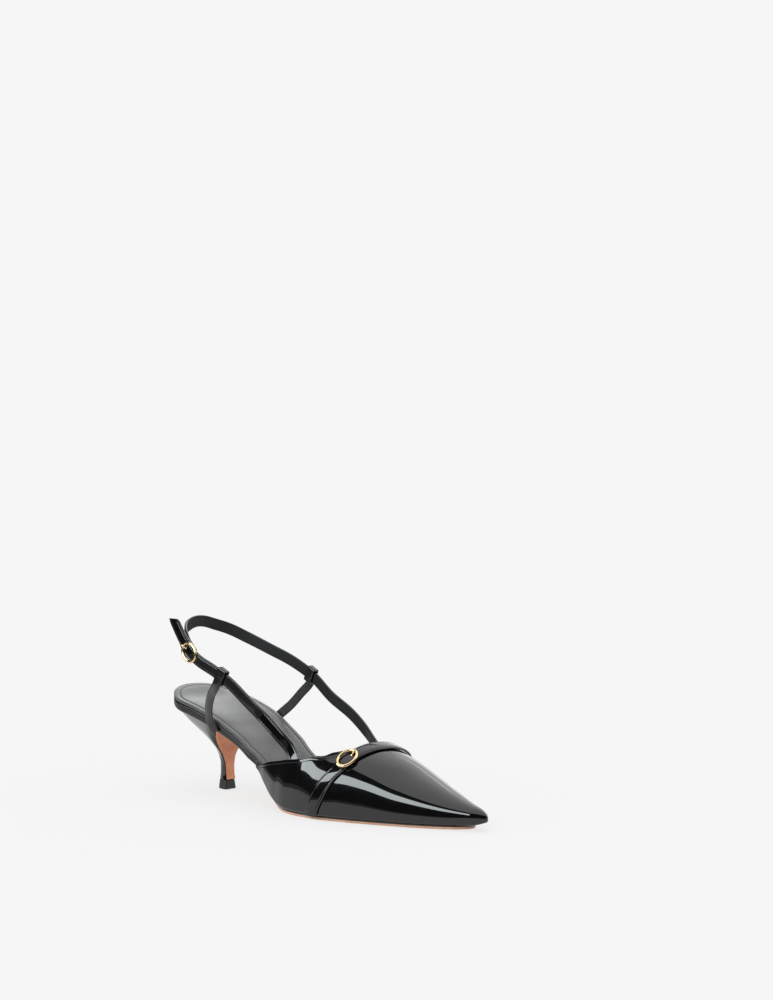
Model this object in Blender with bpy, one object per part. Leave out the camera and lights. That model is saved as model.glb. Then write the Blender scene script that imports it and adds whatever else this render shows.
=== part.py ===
"""Pointed slingback pump, right shoe, as an assembly of its maker's pieces.

Metres. The origin is the centre of the heel tip's floor face, +X runs to the
toe, +Y to the inner side of the foot and +Z up. Every piece is worked out from
the sizes below and from short tables whose values are shares of those sizes.
"""

import math

import bmesh
import bpy
import numpy as np

# Main sizes
SHOE_LENGTH = 0.2511      # back of the seat to the toe tip
SEAT_OVERHANG = 0.0360    # back of the seat behind the middle of the heel tip
BALL_WIDTH = 0.0700       # across the upper at the ball
WAIST_WIDTH = 0.0490      # across the board under the arch
SEAT_WIDTH = 0.0540       # across the board at the seat
SEAT_ROUND = 0.0245       # length of the seat's round back end
SEAT_RISE = 0.0538        # board's underside at the seat's back above the forepart's
VAMP_HEIGHT = 0.0390      # crest of the vamp in front of the throat, above the feather edge
SIDE_HEIGHT = 0.0342      # topline beside the throat, above the feather edge
NOSE_LENGTH = 0.0080      # length of the toe's round end
NOSE_BLUNT = 0.45         # share of the height that stands at the very tip
NOSE_LIFT = 0.30          # share of the height by which the lower edge rises to the tip

# Fits
GAP = 0.0003              # between pieces that lie on each other
END_GAP = 0.0006          # between the ends of pieces in one line

# Upper
UPPER_WALL = 0.0015
SIDE_SWELL = 0.0010       # how far the sides stand out above the feather edge
REAR_CORNER = 0.0561      # x of the quarters' back ends
THROAT = 0.1318           # x of the middle of the throat's front edge
THROAT_CORNER = 0.0170    # length of the throat's round corners
THROAT_SQUARE = 2.3       # exponent of those corners
THROAT_SLANT = 0.0070     # how much the throat's inner end lies in front of its outer end
SLANT_REACH = 0.0450      # how far from the throat the slant fades out

# Board, sock and outsole
BOARD_THICKNESS = 0.0052
SOCK_THICKNESS = 0.0017
SOCK_DISH = 0.0010        # middle of the sock below its edge
OUTSOLE_THICKNESS = 0.0022
OUTSOLE_INSET = 0.0017    # outsole's edge inside the upper's
WAIST_INSET = 0.0045      # outsole's edge inside the board's under the arch
OUTSOLE_OVERHANG = 0.0095 # toe tip in front of the outsole
SPRING_START = 0.1714     # x where the outsole leaves the floor
TOE_SPRING = 0.0012       # outsole's rise at the toe tip

# Heel
TIP_WIDTH = 0.0094
TIP_DEPTH = 0.0100
TIP_HEIGHT = 0.0058
TIP_FLARE = 0.0007        # tip's floor face outside the heel's foot
HEEL_FRONT = 0.0154       # x of the breast's top
HEEL_INSET = 0.0017       # heel's top inside the board's edge
BREAST_THICKNESS = 0.0008
BREAST_MARGIN = 0.84      # share of the heel's width that the breast cover takes
BREAST_ENDS = (0.02, 0.93)  # shares of the heel's height where the cover starts and ends

# Vamp strap and its buckle
BAND_WIDTH = 0.0086
BAND_THICKNESS = 0.0012
VAMP_BUCKLE_ANGLE = 0.290 # place round the section, share of half a turn
VAMP_BUCKLE_LONG = 0.0150
VAMP_BUCKLE_SHORT = 0.0112
VAMP_BUCKLE_WIRE = 0.0018
VAMP_CURVE = 0.0300       # radius of the vamp along the buckle

# Sling and its supports
STRAP_WIDTH = 0.0076
STRAP_THICKNESS = 0.0016
TAIL_POINT = 0.0042       # length of a strap's pointed end
POINT_BLUNT = 0.42        # share of the width left at its tip
SUPPORT_WIDTH = 0.0064
SUPPORT_THICKNESS = 0.0012
LOOP_WALL = 0.0012
LOOP_LENGTH = 0.0065
SLING_BUCKLE_LONG = 0.0152
SLING_BUCKLE_SHORT = 0.0120
SLING_BUCKLE_WIRE = 0.0017
PRONG_WIRE = 0.0012
LEAN_CLEARANCE = 0.0021   # middle of an upright strap inside the leaning quarter
LEAVE_RISE = 0.0060       # strap's rise from its last anchor to the quarter's edge
SLING_HEIGHT = 0.1040     # top of the sling behind the heel, above the floor
SLING_SPREAD = 0.0720     # across the sling where it is widest
BUCKLE_STATION = 0.182    # sling buckle's middle, share of SHOE_LENGTH

# Derived places
SEAT_BACK = -SEAT_OVERHANG
TOE_TIP = SEAT_BACK + SHOE_LENGTH
SOLE_TOP = OUTSOLE_THICKNESS + GAP
HALF_TURN = math.pi
WIDTHS = {"seat": SEAT_WIDTH, "waist": WAIST_WIDTH, "ball": BALL_WIDTH}

# Feather edge: station as a share of SHOE_LENGTH from the back of the seat, the
# width that the row follows, and the outer and inner edge as shares of it.
OUTLINE = (
    # station, width, outer, inner
    (0.000, "seat", 0.500, 0.500),
    (0.101, "seat", 0.500, 0.500),
    (0.212, "seat", 0.488, 0.488),
    (0.311, "waist", 0.497, 0.497),
    (0.370, "waist", 0.508, 0.504),
    (0.410, "ball", 0.402, 0.375),
    (0.461, "ball", 0.462, 0.420),
    (0.509, "ball", 0.496, 0.457),
    (0.549, "ball", 0.500, 0.481),
    (0.600, "ball", 0.497, 0.497),
    (0.667, "ball", 0.440, 0.496),
    (0.747, "ball", 0.333, 0.445),
    (0.826, "ball", 0.213, 0.381),
    (0.905, "ball", 0.074, 0.303),
    (0.956, "ball", -0.021, 0.247),
    (1.000, "ball", -0.100, 0.206),
)

# Upper's section: crest as a share of VAMP_HEIGHT, place of the crest between the
# edges, and exponent of the section. Behind the throat only its sides are used.
SECTIONS = (
    # station, height, crest, square
    (0.370, 0.770, 0.500, 2.30),
    (0.440, 0.923, 0.500, 2.30),
    (0.501, 1.230, 0.500, 2.30),
    (0.556, 1.300, 0.500, 2.30),
    (0.612, 1.100, 0.500, 2.30),
    (0.640, 1.045, 0.505, 2.30),
    (0.663, 1.030, 0.510, 2.35),
    (0.727, 0.900, 0.530, 2.40),
    (0.810, 0.667, 0.570, 2.40),
    (0.905, 0.410, 0.570, 2.40),
    (0.956, 0.286, 0.550, 2.40),
    (1.000, 0.200, 0.520, 2.30),
)

# Topline of the quarters above the feather edge, as shares of SIDE_HEIGHT.
TOPLINE = (
    # station, outer, inner
    (0.370, 0.095, 0.095),
    (0.402, 0.327, 0.290),
    (0.440, 0.600, 0.585),
    (0.501, 0.857, 0.858),
    (0.556, 0.925, 0.945),
    (0.612, 0.930, 0.950),
    (0.700, 0.930, 0.960),
)

# Board's underside: rise as a share of SEAT_RISE, thickness as a share of BOARD_THICKNESS.
PROFILE = (
    # station, rise, thickness
    (0.000, 1.0220, 1.00),
    (0.027, 0.9860, 1.00),
    (0.067, 0.9240, 1.00),
    (0.127, 0.8640, 1.00),
    (0.187, 0.7870, 1.00),
    (0.231, 0.7160, 0.96),
    (0.261, 0.6560, 0.88),
    (0.301, 0.5630, 0.83),
    (0.331, 0.4740, 0.81),
    (0.367, 0.3620, 0.79),
    (0.406, 0.2290, 0.74),
    (0.446, 0.1030, 0.67),
    (0.486, 0.0240, 0.60),
    (0.526, 0.0020, 0.60),
    (0.556, 0.0000, 0.60),
    (1.000, 0.0000, 0.60),
)

# Heel: height from foot to seat as a share, then how far its half width, back and
# front have gone from the foot's to the seat's, and the exponent of its round back.
HEEL = (
    # height, width, back, front, square
    (0.00, 0.000, 0.000, 0.000, 2.2),
    (0.10, -0.019, -0.019, -0.054, 2.2),
    (0.20, -0.019, -0.020, -0.072, 2.2),
    (0.32, 0.019, 0.014, -0.090, 2.3),
    (0.43, 0.103, 0.095, -0.108, 2.3),
    (0.52, 0.230, 0.167, -0.090, 2.3),
    (0.62, 0.390, 0.280, -0.027, 2.4),
    (0.76, 0.610, 0.580, 0.190, 2.5),
    (0.88, 0.798, 0.840, 0.550, 2.7),
    (1.00, 1.000, 1.000, 1.000, 2.8),
)

# Middle of the vamp strap: angle round the section as a share of half a turn, and
# its distance in front of the throat as a share of BAND_WIDTH.
BAND = (
    # angle, ahead
    (0.000, -1.020),
    (0.060, -0.600),
    (0.120, -0.240),
    (0.160, 0.000),
    (0.220, 0.370),
    (0.290, 0.550),
    (0.385, 0.660),
    (0.500, 0.580),
    (0.650, 0.290),
    (0.800, -0.570),
    (1.000, -1.560),
)


def smooth(table, key, x):
    """Value of a table's column at x, by a monotone cubic through its rows."""
    xs = np.array([row[0] for row in table], dtype=float)
    ys = np.array([row[key] for row in table], dtype=float)
    x = min(max(x, xs[0]), xs[-1])
    steps = np.diff(xs)
    slopes = np.diff(ys) / steps
    tangents = np.zeros(len(xs))
    tangents[0], tangents[-1] = slopes[0], slopes[-1]
    for i in range(1, len(xs) - 1):
        if slopes[i - 1] * slopes[i] > 0:
            before, after = 2 * steps[i] + steps[i - 1], steps[i] + 2 * steps[i - 1]
            tangents[i] = (before + after) / (before / slopes[i - 1] + after / slopes[i])
    i = min(int(np.searchsorted(xs, x, side="right")) - 1, len(xs) - 2)
    t = (x - xs[i]) / steps[i]
    rise = ys[i] * (2 * t**3 - 3 * t**2 + 1) + ys[i + 1] * (3 * t**2 - 2 * t**3)
    lean = tangents[i] * (t**3 - 2 * t**2 + t) + tangents[i + 1] * (t**3 - t**2)
    return float(rise + steps[i] * lean)


def blend(share):
    """Smooth step from 0 to 1."""
    share = min(max(share, 0.0), 1.0)
    return share * share * (3 - 2 * share)


def station(x):
    """Share of the shoe's length at x."""
    return (x - SEAT_BACK) / SHOE_LENGTH


def place_x(share):
    """x of a station."""
    return SEAT_BACK + SHOE_LENGTH * share


def round_end(x, end, length):
    """1 before a round end, falling to 0 at it as an ellipse does; the end may lie either way."""
    share = 1 - min(abs(end - x) / length, 1.0)
    if (end > 0) == (x > end):
        share = 1.0
    return math.sqrt(max(1 - share * share, 0.0))


OUTLINE_SIZES = tuple((row[0], row[2] * WIDTHS[row[1]], row[3] * WIDTHS[row[1]]) for row in OUTLINE)


def feather(x):
    """Outer and inner y of the full outline at x, before its round ends."""
    return -smooth(OUTLINE_SIZES, 1, station(x)), smooth(OUTLINE_SIZES, 2, station(x))


def spring(x):
    """Height of the outsole's underside above the floor in front of the ball."""
    share = max((x - SPRING_START) / (TOE_TIP - SPRING_START), 0.0)
    return TOE_SPRING * share * share


def under_board(x):
    """Height of the board's and the upper's lower edge at x."""
    return SOLE_TOP + SEAT_RISE * smooth(PROFILE, 1, station(x)) + spring(x)


def board_top(x):
    """Height of the board's upper face at x."""
    return under_board(x) + BOARD_THICKNESS * smooth(PROFILE, 2, station(x))


def sock_top(x):
    """Height of the sock's edge at x."""
    return board_top(x) + GAP + SOCK_THICKNESS


def upper_point(x, angle, inset=0.0):
    """Point of the upper's surface; angle runs from 0 at the outer feather edge to pi.

    A positive inset gives the surface that lies that far inside, a negative one outside.
    """
    outer, inner = feather(x)
    square = smooth(SECTIONS, 3, station(x))
    close = round_end(x, TOE_TIP - inset, NOSE_LENGTH - inset)
    full_height = VAMP_HEIGHT * smooth(SECTIONS, 1, station(x))
    half = ((inner - outer) / 2 - inset) * close
    height = (full_height - inset) * (NOSE_BLUNT + (1 - NOSE_BLUNT) * close)
    lean = 2 * smooth(SECTIONS, 2, station(x)) - 1
    side = math.cos(angle)
    across = -math.copysign(abs(side) ** (2 / square), side)
    swell = SIDE_SWELL * close * math.sin(2 * angle) ** 2
    y = (outer + inner) / 2 + half * (across + lean * (1 - across * across)) + across * swell
    base = under_board(x) + NOSE_LIFT * full_height * (1 - close)
    z = base + height * abs(math.sin(angle)) ** (2 / square)
    return np.array((x, y, z))


def angle_at(x, height, side):
    """Angle at which the upper's section at x reaches a height above its edge."""
    square = smooth(SECTIONS, 3, station(x))
    share = height / (VAMP_HEIGHT * smooth(SECTIONS, 1, station(x)))
    angle = math.asin(min(share, 1.0) ** (square / 2))
    return angle if side < 0 else HALF_TURN - angle


def topline_angle(x, side):
    """Angle of the quarter's edge at x, from the rear corner to the middle of the throat."""
    column = 1 if side < 0 else 2
    angle = angle_at(x, SIDE_HEIGHT * smooth(TOPLINE, column, station(x)), side)
    share = max((x - (THROAT - THROAT_CORNER)) / THROAT_CORNER, 0.0)
    turn = 1 - (1 - min(share, 1.0) ** THROAT_SQUARE) ** (1 / THROAT_SQUARE)
    return angle + (HALF_TURN / 2 - angle) * turn


def slanted(x, angle):
    """x of a station that is slanted beside the throat."""
    fade = blend(1 - abs(x - THROAT) / SLANT_REACH)
    return x - THROAT_SLANT * fade * math.cos(angle)


def inside_edge(x, side, height, inset):
    """y of the upper's inner side at a height above its lower edge."""
    return upper_point(x, angle_at(x, height, side), inset)[1]


def material(name, colour, roughness, metallic=0.0):
    """Principled material with a plain colour."""
    made = bpy.data.materials.new(name)
    made.use_nodes = True
    shader = made.node_tree.nodes["Principled BSDF"]
    shader.inputs["Base Color"].default_value = (*colour, 1.0)
    shader.inputs["Roughness"].default_value = roughness
    shader.inputs["Metallic"].default_value = metallic
    return made


BLACK = (0.012, 0.012, 0.013)
CHARCOAL = (0.030, 0.030, 0.032)
TAN = (0.440, 0.190, 0.085)
GOLD = (0.830, 0.640, 0.340)
SMOOTH_EDGE = math.radians(40)
WELD = 0.000001


def add_mesh(name, points, faces, colour, roughness, metallic=0.0):
    """One closed object with its own material."""
    mesh = bpy.data.meshes.new(name)
    mesh.from_pydata([tuple(float(v) for v in point) for point in points], [], faces)
    shape = bmesh.new()
    shape.from_mesh(mesh)
    bmesh.ops.remove_doubles(shape, verts=shape.verts, dist=WELD)
    bmesh.ops.dissolve_degenerate(shape, edges=shape.edges, dist=WELD)
    bmesh.ops.recalc_face_normals(shape, faces=shape.faces)
    shape.to_mesh(mesh)
    shape.free()
    mesh.shade_smooth()
    mesh.set_sharp_from_angle(angle=SMOOTH_EDGE)
    mesh.materials.append(material(name, colour, roughness, metallic))
    made = bpy.data.objects.new(name, mesh)
    bpy.context.scene.collection.objects.link(made)
    return made


def loft(rings, closed=False, caps=True):
    """Points and faces of a tube through rings of equal count."""
    count = len(rings[0])
    points = [point for ring in rings for point in ring]
    faces = []
    last = len(rings) if closed else len(rings) - 1
    for i in range(last):
        here, there = i * count, ((i + 1) % len(rings)) * count
        for j in range(count):
            k = (j + 1) % count
            faces.append((here + j, here + k, there + k, there + j))
    if caps and not closed:
        faces.append(tuple(reversed(range(count))))
        faces.append(tuple(range((len(rings) - 1) * count, len(rings) * count)))
    return points, faces


def spaced(start, end, step):
    """Even places from start to end, about a step apart."""
    return list(np.linspace(start, end, max(int(math.ceil(abs(end - start) / step)), 1) + 1))


def round_places(start, end, count):
    """Places that crowd towards the end, as points round an ellipse do."""
    return [start + (end - start) * math.sin(HALF_TURN / 2 * i / count) for i in range(count)]


STEP = 0.0068             # length of a facet along the shoe
SLAB_COLUMNS = 5


def slab(name, places, edges, bottom, top, colour, roughness, dish=0.0):
    """Sheet under the foot: edges(x) gives its two sides, bottom(x) and top(x) its faces."""
    rings = []
    for x in places:
        outer, inner = edges(x)
        shares = np.linspace(0, 1, SLAB_COLUMNS)
        lower = [(x, outer + (inner - outer) * s, bottom(x)) for s in shares]
        upper = [(x, outer + (inner - outer) * s, top(x) - dish * 4 * s * (1 - s)) for s in shares]
        rings.append(lower + upper[::-1])
    points, faces = loft(rings, caps=False)
    for ring, turn in ((0, 1), (len(rings) - 1, -1)):
        base = ring * 2 * SLAB_COLUMNS
        for j in range(SLAB_COLUMNS - 1):
            far = 2 * SLAB_COLUMNS - 1 - j
            faces.append(tuple(base + k for k in (j, j + 1, far - 1, far)[::turn]))
    return add_mesh(name, points, faces, colour, roughness)


BOARD_FRONT = TOE_TIP - NOSE_LENGTH
TUCK_RUN = 0.0090         # length over which the board narrows to go inside the quarters


def seat_round(x):
    """Narrowing of the outline round the back of the seat."""
    return round_end(x, SEAT_BACK, SEAT_ROUND)


def board_edges(x, height=0.0):
    """Outer and inner side of the board at x, inside the quarters in front of their corners."""
    outer, inner = feather(x)
    share = blend((x - (REAR_CORNER - END_GAP - TUCK_RUN)) / TUCK_RUN)
    inset = share * (UPPER_WALL + GAP)
    plain = [(outer + inset) * seat_round(x), (inner - inset) * seat_round(x)]
    if x < REAR_CORNER:
        return plain
    fit = UPPER_WALL + GAP
    return [
        max(plain[0], inside_edge(x, -1, height, fit)),
        min(plain[1], inside_edge(x, 1, height, fit)),
    ]


def sock_edges(x):
    """Sides of the sock, which stay clear of the upper at the height of its top."""
    return board_edges(x, sock_top(x) - under_board(x))


def board_places():
    """Stations of the board and sock."""
    back = round_places(SEAT_BACK + SEAT_ROUND, SEAT_BACK, 8)[::-1]
    return back + spaced(SEAT_BACK + SEAT_ROUND, BOARD_FRONT, STEP)[1:]


def make_board():
    """Insole board in its leather cover, from the seat to inside the toe."""
    slab("insole_board", board_places(), board_edges, under_board, board_top, BLACK, 0.35)


def make_sock():
    """Padded sock on the board."""
    slab("sock", board_places(), sock_edges, lambda x: board_top(x) + GAP, sock_top,
         CHARCOAL, 0.45, dish=SOCK_DISH)


OUTSOLE_BACK = HEEL_FRONT + GAP
OUTSOLE_TIP = TOE_TIP - OUTSOLE_OVERHANG


def outsole_edges(x):
    """Sides of the outsole, drawn in under the arch and round at the toe."""
    outer, inner = feather(x)
    arch = 1 - blend((x - REAR_CORNER) / (THROAT - REAR_CORNER) * 2)
    inset = OUTSOLE_INSET + (WAIST_INSET - OUTSOLE_INSET) * arch
    middle, half = (outer + inner) / 2, (inner - outer) / 2 - inset
    half *= round_end(x, OUTSOLE_TIP, NOSE_LENGTH)
    return middle - half, middle + half


def make_outsole():
    """Thin outsole from the breast to the toe, flat under the forepart."""
    places = spaced(OUTSOLE_BACK, OUTSOLE_TIP - NOSE_LENGTH, STEP)[:-1]
    places += round_places(OUTSOLE_TIP - NOSE_LENGTH, OUTSOLE_TIP, 7)
    slab("outsole", places, outsole_edges, lambda x: under_board(x) - SOLE_TOP,
         lambda x: under_board(x) - GAP, TAN, 0.5)


HEEL_COLUMNS = 28
HEEL_FOOT = TIP_HEIGHT + GAP
BREAST_SQUARE = 5.0       # exponent of the heel's front corners
WIDEST = 0.28             # heel's widest place behind its front, share of its depth


def heel_size(share):
    """Half width, back x, front x and exponent of the heel at a share of its height."""
    foot = (TIP_WIDTH / 2 - TIP_FLARE, -TIP_DEPTH / 2 + TIP_FLARE, TIP_DEPTH / 2 - TIP_FLARE)
    seat = (SEAT_WIDTH / 2 - HEEL_INSET, SEAT_BACK + HEEL_INSET, HEEL_FRONT)
    grown = [smooth(HEEL, column, share) for column in (1, 2, 3)]
    half, back, front = (a + (b - a) * g for a, b, g in zip(foot, seat, grown))
    return half, back, front, smooth(HEEL, 4, share)


def d_shape(half, back, front, square, turn):
    """x and y on a ring with a round back and a nearly flat front; turn 0 is the front's middle."""
    widest = front - WIDEST * (front - back)
    ahead, aside = math.cos(turn), math.sin(turn)
    power = BREAST_SQUARE if ahead > 0 else square
    reach = front - widest if ahead > 0 else widest - back
    x = widest + math.copysign(reach * abs(ahead) ** (2 / power), ahead)
    return x, math.copysign(half * abs(aside) ** (2 / power), aside)


def cap_in_strips(rings, ring, count):
    """Faces across a ring whose points come in pairs of equal x."""
    base = ring * count
    faces = [(base, base + 1, base + count - 1)]
    for j in range(1, count // 2 - 1):
        faces.append((base + j, base + j + 1, base + count - j - 1, base + count - j))
    faces.append((base + count // 2 - 1, base + count // 2, base + count // 2 + 1))
    return faces


def heel_top(x):
    """Height of the heel's upper face under the board."""
    return under_board(x) - GAP


def make_heel():
    """Spool heel whose top follows the board's underside."""
    levels = [row[0] for row in HEEL]
    shares = sorted(set(levels + [(a + b) / 2 for a, b in zip(levels[2:], levels[3:])]))
    rings = []
    for share in shares:
        ring = []
        for j in range(HEEL_COLUMNS):
            turn = 2 * HALF_TURN * j / HEEL_COLUMNS
            top = heel_top(d_shape(*heel_size(1.0), turn)[0])
            x, y = d_shape(*heel_size(share), turn)
            ring.append((x, y, HEEL_FOOT + (top - HEEL_FOOT) * share))
        rings.append(ring)
    points, faces = loft(rings, caps=False)
    faces.append(tuple(reversed(range(HEEL_COLUMNS))))
    faces += cap_in_strips(rings, len(rings) - 1, HEEL_COLUMNS)
    return add_mesh("heel", points, faces, BLACK, 0.12)


def make_top_piece():
    """Wear piece under the heel, flared to its floor face."""
    rings = []
    for z, flare in ((0.0, TIP_FLARE), (TIP_HEIGHT, 0.0)):
        half, back, front, square = heel_size(0.0)
        ring = []
        for j in range(HEEL_COLUMNS):
            turn = 2 * HALF_TURN * j / HEEL_COLUMNS
            x, y = d_shape(half + flare, back - flare, front + flare, square, turn)
            ring.append((x, y, z))
        rings.append(ring)
    add_mesh("top_piece", *loft(rings), BLACK, 0.55)


def make_breast():
    """Thin cover down the heel's front, from the outsole to the heel's foot."""
    rings = []
    top = heel_top(HEEL_FRONT)
    for share in np.linspace(*BREAST_ENDS, 18):
        half, _, front, _ = heel_size(share)
        side = half * BREAST_MARGIN
        z = HEEL_FOOT + (top - HEEL_FOOT) * share
        near, far = front + GAP, front + GAP + BREAST_THICKNESS
        rings.append([(near, -side, z), (far, -side, z), (far, side, z), (near, side, z)])
    add_mesh("breast_cover", *loft(rings), TAN, 0.5)


UPPER_COLUMNS = 13
UPPER_STEP = 0.0060


def upper_places():
    """Stations of the quarters, up to the throat, and of the vamp in front of it."""
    corner = THROAT - THROAT_CORNER
    back = spaced(REAR_CORNER, corner, UPPER_STEP)[:-1] + round_places(corner, THROAT, 9)
    front = spaced(THROAT, TOE_TIP - NOSE_LENGTH, UPPER_STEP)[:-1]
    return back, front


def upper_rows(inset):
    """Rows of points of each side, from the feather edge to the topline or the crest."""
    back, front = upper_places()
    nose = round_places(TOE_TIP - NOSE_LENGTH, TOE_TIP - inset, 7)
    rows = {-1: [], 1: []}
    for side, grid in rows.items():
        foot = 0.0 if side < 0 else HALF_TURN
        for x in back + front + nose:
            end = topline_angle(x, side) if x < THROAT else HALF_TURN / 2
            row = []
            for share in np.linspace(0, 1, UPPER_COLUMNS):
                angle = foot + (end - foot) * share
                row.append(upper_point(slanted(x, angle), angle, inset))
            grid.append(row)
    return rows


def make_upper():
    """Vamp and quarters as one hollow wall, open at the throat, the back and underneath."""
    skins = {"out": upper_rows(0.0), "in": upper_rows(UPPER_WALL)}
    points, index = [], {}
    for skin, rows in skins.items():
        for side, grid in rows.items():
            for i, row in enumerate(grid):
                for j, point in enumerate(row):
                    index[skin, side, i, j] = len(points)
                    points.append(point)
        index[skin, "tip"] = len(points)
        last = len(rows[1]) - 1
        ends = [points[index[skin, side, last, j]] for side in (-1, 1) for j in range(UPPER_COLUMNS)]
        tip = np.mean(ends, axis=0)
        tip[0] = TOE_TIP - (UPPER_WALL if skin == "in" else 0.0)
        points.append(tip)
    throat = len(upper_places()[0])
    count = len(skins["out"][-1])
    faces = []
    for skin in skins:
        for side in (-1, 1):
            for i in range(count - 1):
                for j in range(UPPER_COLUMNS - 1):
                    quad = [(i, j), (i, j + 1), (i + 1, j + 1), (i + 1, j)]
                    faces.append(tuple(index[skin, side, a, b] for a, b in quad))
            for j in range(UPPER_COLUMNS - 1):
                pair = [index[skin, side, count - 1, b] for b in (j, j + 1)]
                faces.append((*pair, index[skin, "tip"]))
    top = UPPER_COLUMNS - 1
    for side in (-1, 1):
        for i in range(throat):
            quad = [("out", i), ("out", i + 1), ("in", i + 1), ("in", i)]
            faces.append(tuple(index[skin, side, a, top] for skin, a in quad))
        for i in range(count - 1):
            quad = [("out", i), ("out", i + 1), ("in", i + 1), ("in", i)]
            faces.append(tuple(index[skin, side, a, 0] for skin, a in quad))
        for j in range(top):
            quad = [("out", j), ("out", j + 1), ("in", j + 1), ("in", j)]
            faces.append(tuple(index[skin, side, 0, b] for skin, b in quad))
        faces.append(tuple(index[k] for k in (
            ("out", side, count - 1, 0), ("out", "tip"), ("in", "tip"), ("in", side, count - 1, 0))))
    return add_mesh("upper", points, faces, BLACK, 0.10)


BAND_COLUMNS = 44
BAND_ROWS = 4
BAND_LIFT = 0.00050       # vamp strap above the upper


def band_x(angle, share=0.0):
    """x of the vamp strap at an angle; share runs from -1 at its back edge to 1 at its front."""
    ahead = smooth(BAND, 1, angle / HALF_TURN) + 0.5 * share
    return slanted(THROAT, angle) + ahead * BAND_WIDTH


def make_band():
    """Vamp strap over the upper, from feather edge to feather edge in front of the throat."""
    rings = []
    for angle in np.linspace(0, HALF_TURN, BAND_COLUMNS):
        shares = np.linspace(-1, 1, BAND_ROWS)
        low = [upper_point(band_x(angle, s), angle, -BAND_LIFT) for s in shares]
        high = [upper_point(band_x(angle, s), angle, -BAND_LIFT - BAND_THICKNESS) for s in shares]
        rings.append(low + high[::-1])
    add_mesh("vamp_strap", *loft(rings), BLACK, 0.12)


def unit(vector):
    """Vector of length one."""
    return np.asarray(vector, dtype=float) / np.linalg.norm(vector)


def curve_through(knots, step):
    """Points about a step apart on a smooth curve through knots."""
    knots = np.array(knots, dtype=float)
    spans = np.linalg.norm(np.diff(knots, axis=0), axis=1)
    at = np.concatenate(([0.0], np.cumsum(spans)))
    tangents = np.gradient(knots, at, axis=0)
    points = []
    for i, span in enumerate(spans):
        for t in np.linspace(0, 1, max(int(round(span / step)), 1) + 1)[:-1]:
            shape = (2 * t**3 - 3 * t**2 + 1, 3 * t**2 - 2 * t**3, t**3 - 2 * t**2 + t, t**3 - t**2)
            points.append(shape[0] * knots[i] + shape[1] * knots[i + 1]
                          + span * (shape[2] * tangents[i] + shape[3] * tangents[i + 1]))
    points.append(knots[-1])
    return np.array(points)


def upright(tangent, outward):
    """Outward direction of a strap that stands with its faces upright."""
    flat = unit((-tangent[1], tangent[0], 0.0))
    return flat if np.dot(flat, outward) > 0 else -flat


def facing(tangent, outward):
    """Outward direction of a strap that faces a given way."""
    return unit(np.asarray(outward) - np.dot(outward, tangent) * tangent)


def ribbon(path, width, thickness, frame, point_length=0.0):
    """Rings of a flat strap along a path, pointed at its end where a length is given."""
    tangents = np.gradient(path, axis=0)
    left = np.linalg.norm(path - path[-1], axis=1)
    rings = []
    for i, place in enumerate(path):
        tangent = unit(tangents[i])
        out = frame(place, tangent)
        side = np.cross(tangent, out)
        half = width / 2
        if point_length:
            half *= max(min(left[i] / point_length, 1.0), POINT_BLUNT)
        rings.append([place + a * side * half + b * out * thickness / 2
                      for a, b in ((-1, -1), (1, -1), (1, 1), (-1, 1))])
    return rings


def inside_point(x, height, side, inner=0.0):
    """Middle of a strap that lies against the quarter's inner face, or further inside."""
    angle = angle_at(x, height, side)
    return upper_point(x, angle, UPPER_WALL + LEAN_CLEARANCE + STRAP_THICKNESS / 2 + inner)


LOOP_CLEARANCE = 0.0004
STRAP_STEP = 0.0045
SLING_AXIS = (place_x(0.197), 0.0, 0.0)


def from_axis(place, tangent):
    """Outward direction of the sling, away from the ankle's middle."""
    return upright(tangent, np.asarray(place) - np.asarray(SLING_AXIS))


OUTER_FACE = (0.15, -1.0, 0.0)  # way that the outer strap's face looks


def outer_frame(place, tangent):
    """Outward direction of the outer strap, which looks sideways up to its tail."""
    return facing(tangent, OUTER_FACE)


# Middle of the straps: station, y as a share of SLING_SPREAD, height as a share of SLING_HEIGHT.
MEDIAL_ROUTE = (
    # station, across, height
    (0.5301, 0.4236, 0.4212),
    (0.4699, 0.4597, 0.5038),
    (0.3879, 0.4819, 0.5942),
    (0.3162, 0.5000, 0.7019),
    (0.2405, 0.5000, 0.7808),
    (0.1621, 0.4681, 0.8462),
    (0.0992, 0.4000, 0.9096),
    (0.0593, 0.2847, 0.9673),
    (0.0390, 0.1736, 0.9981),
    (0.0352, 0.0750, 1.0183),
    (0.0375, -0.0340, 1.0231),
    (0.0480, -0.1600, 1.0019),
    (0.0790, -0.2760, 0.9740),
    (0.1220, -0.3820, 0.9385),
    (0.1560, -0.4486, 0.9058),
    (0.1865, -0.4889, 0.8692),
)
LATERAL_ROUTE = (
    # station, across, height
    (0.4707, -0.3889, 0.4288),
    (0.4281, -0.4236, 0.5221),
    (0.3823, -0.4556, 0.6048),
    (0.3134, -0.4917, 0.7260),
    (0.2656, -0.5111, 0.7856),
    (0.2131, -0.5264, 0.8375),
    (0.1820, -0.5278, 0.8808),
    (0.1529, -0.5125, 0.9413),
    (0.1219, -0.4861, 1.0077),
    (0.0908, -0.4556, 1.0760),
)

# Where the straps are sewn inside the quarters: station, height as a share of SIDE_HEIGHT, and how much
# further inside they lie, in thicknesses of the strap.
INNER_ANCHORS = ((0.640, 0.540, 0.0), (0.618, 0.750, 0.40), (0.594, 0.880, 0.80))
OUTER_ANCHORS = ((0.563, 0.629, 0.0), (0.527, 0.850, 0.0), (0.499, 0.900, 0.0))


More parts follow.
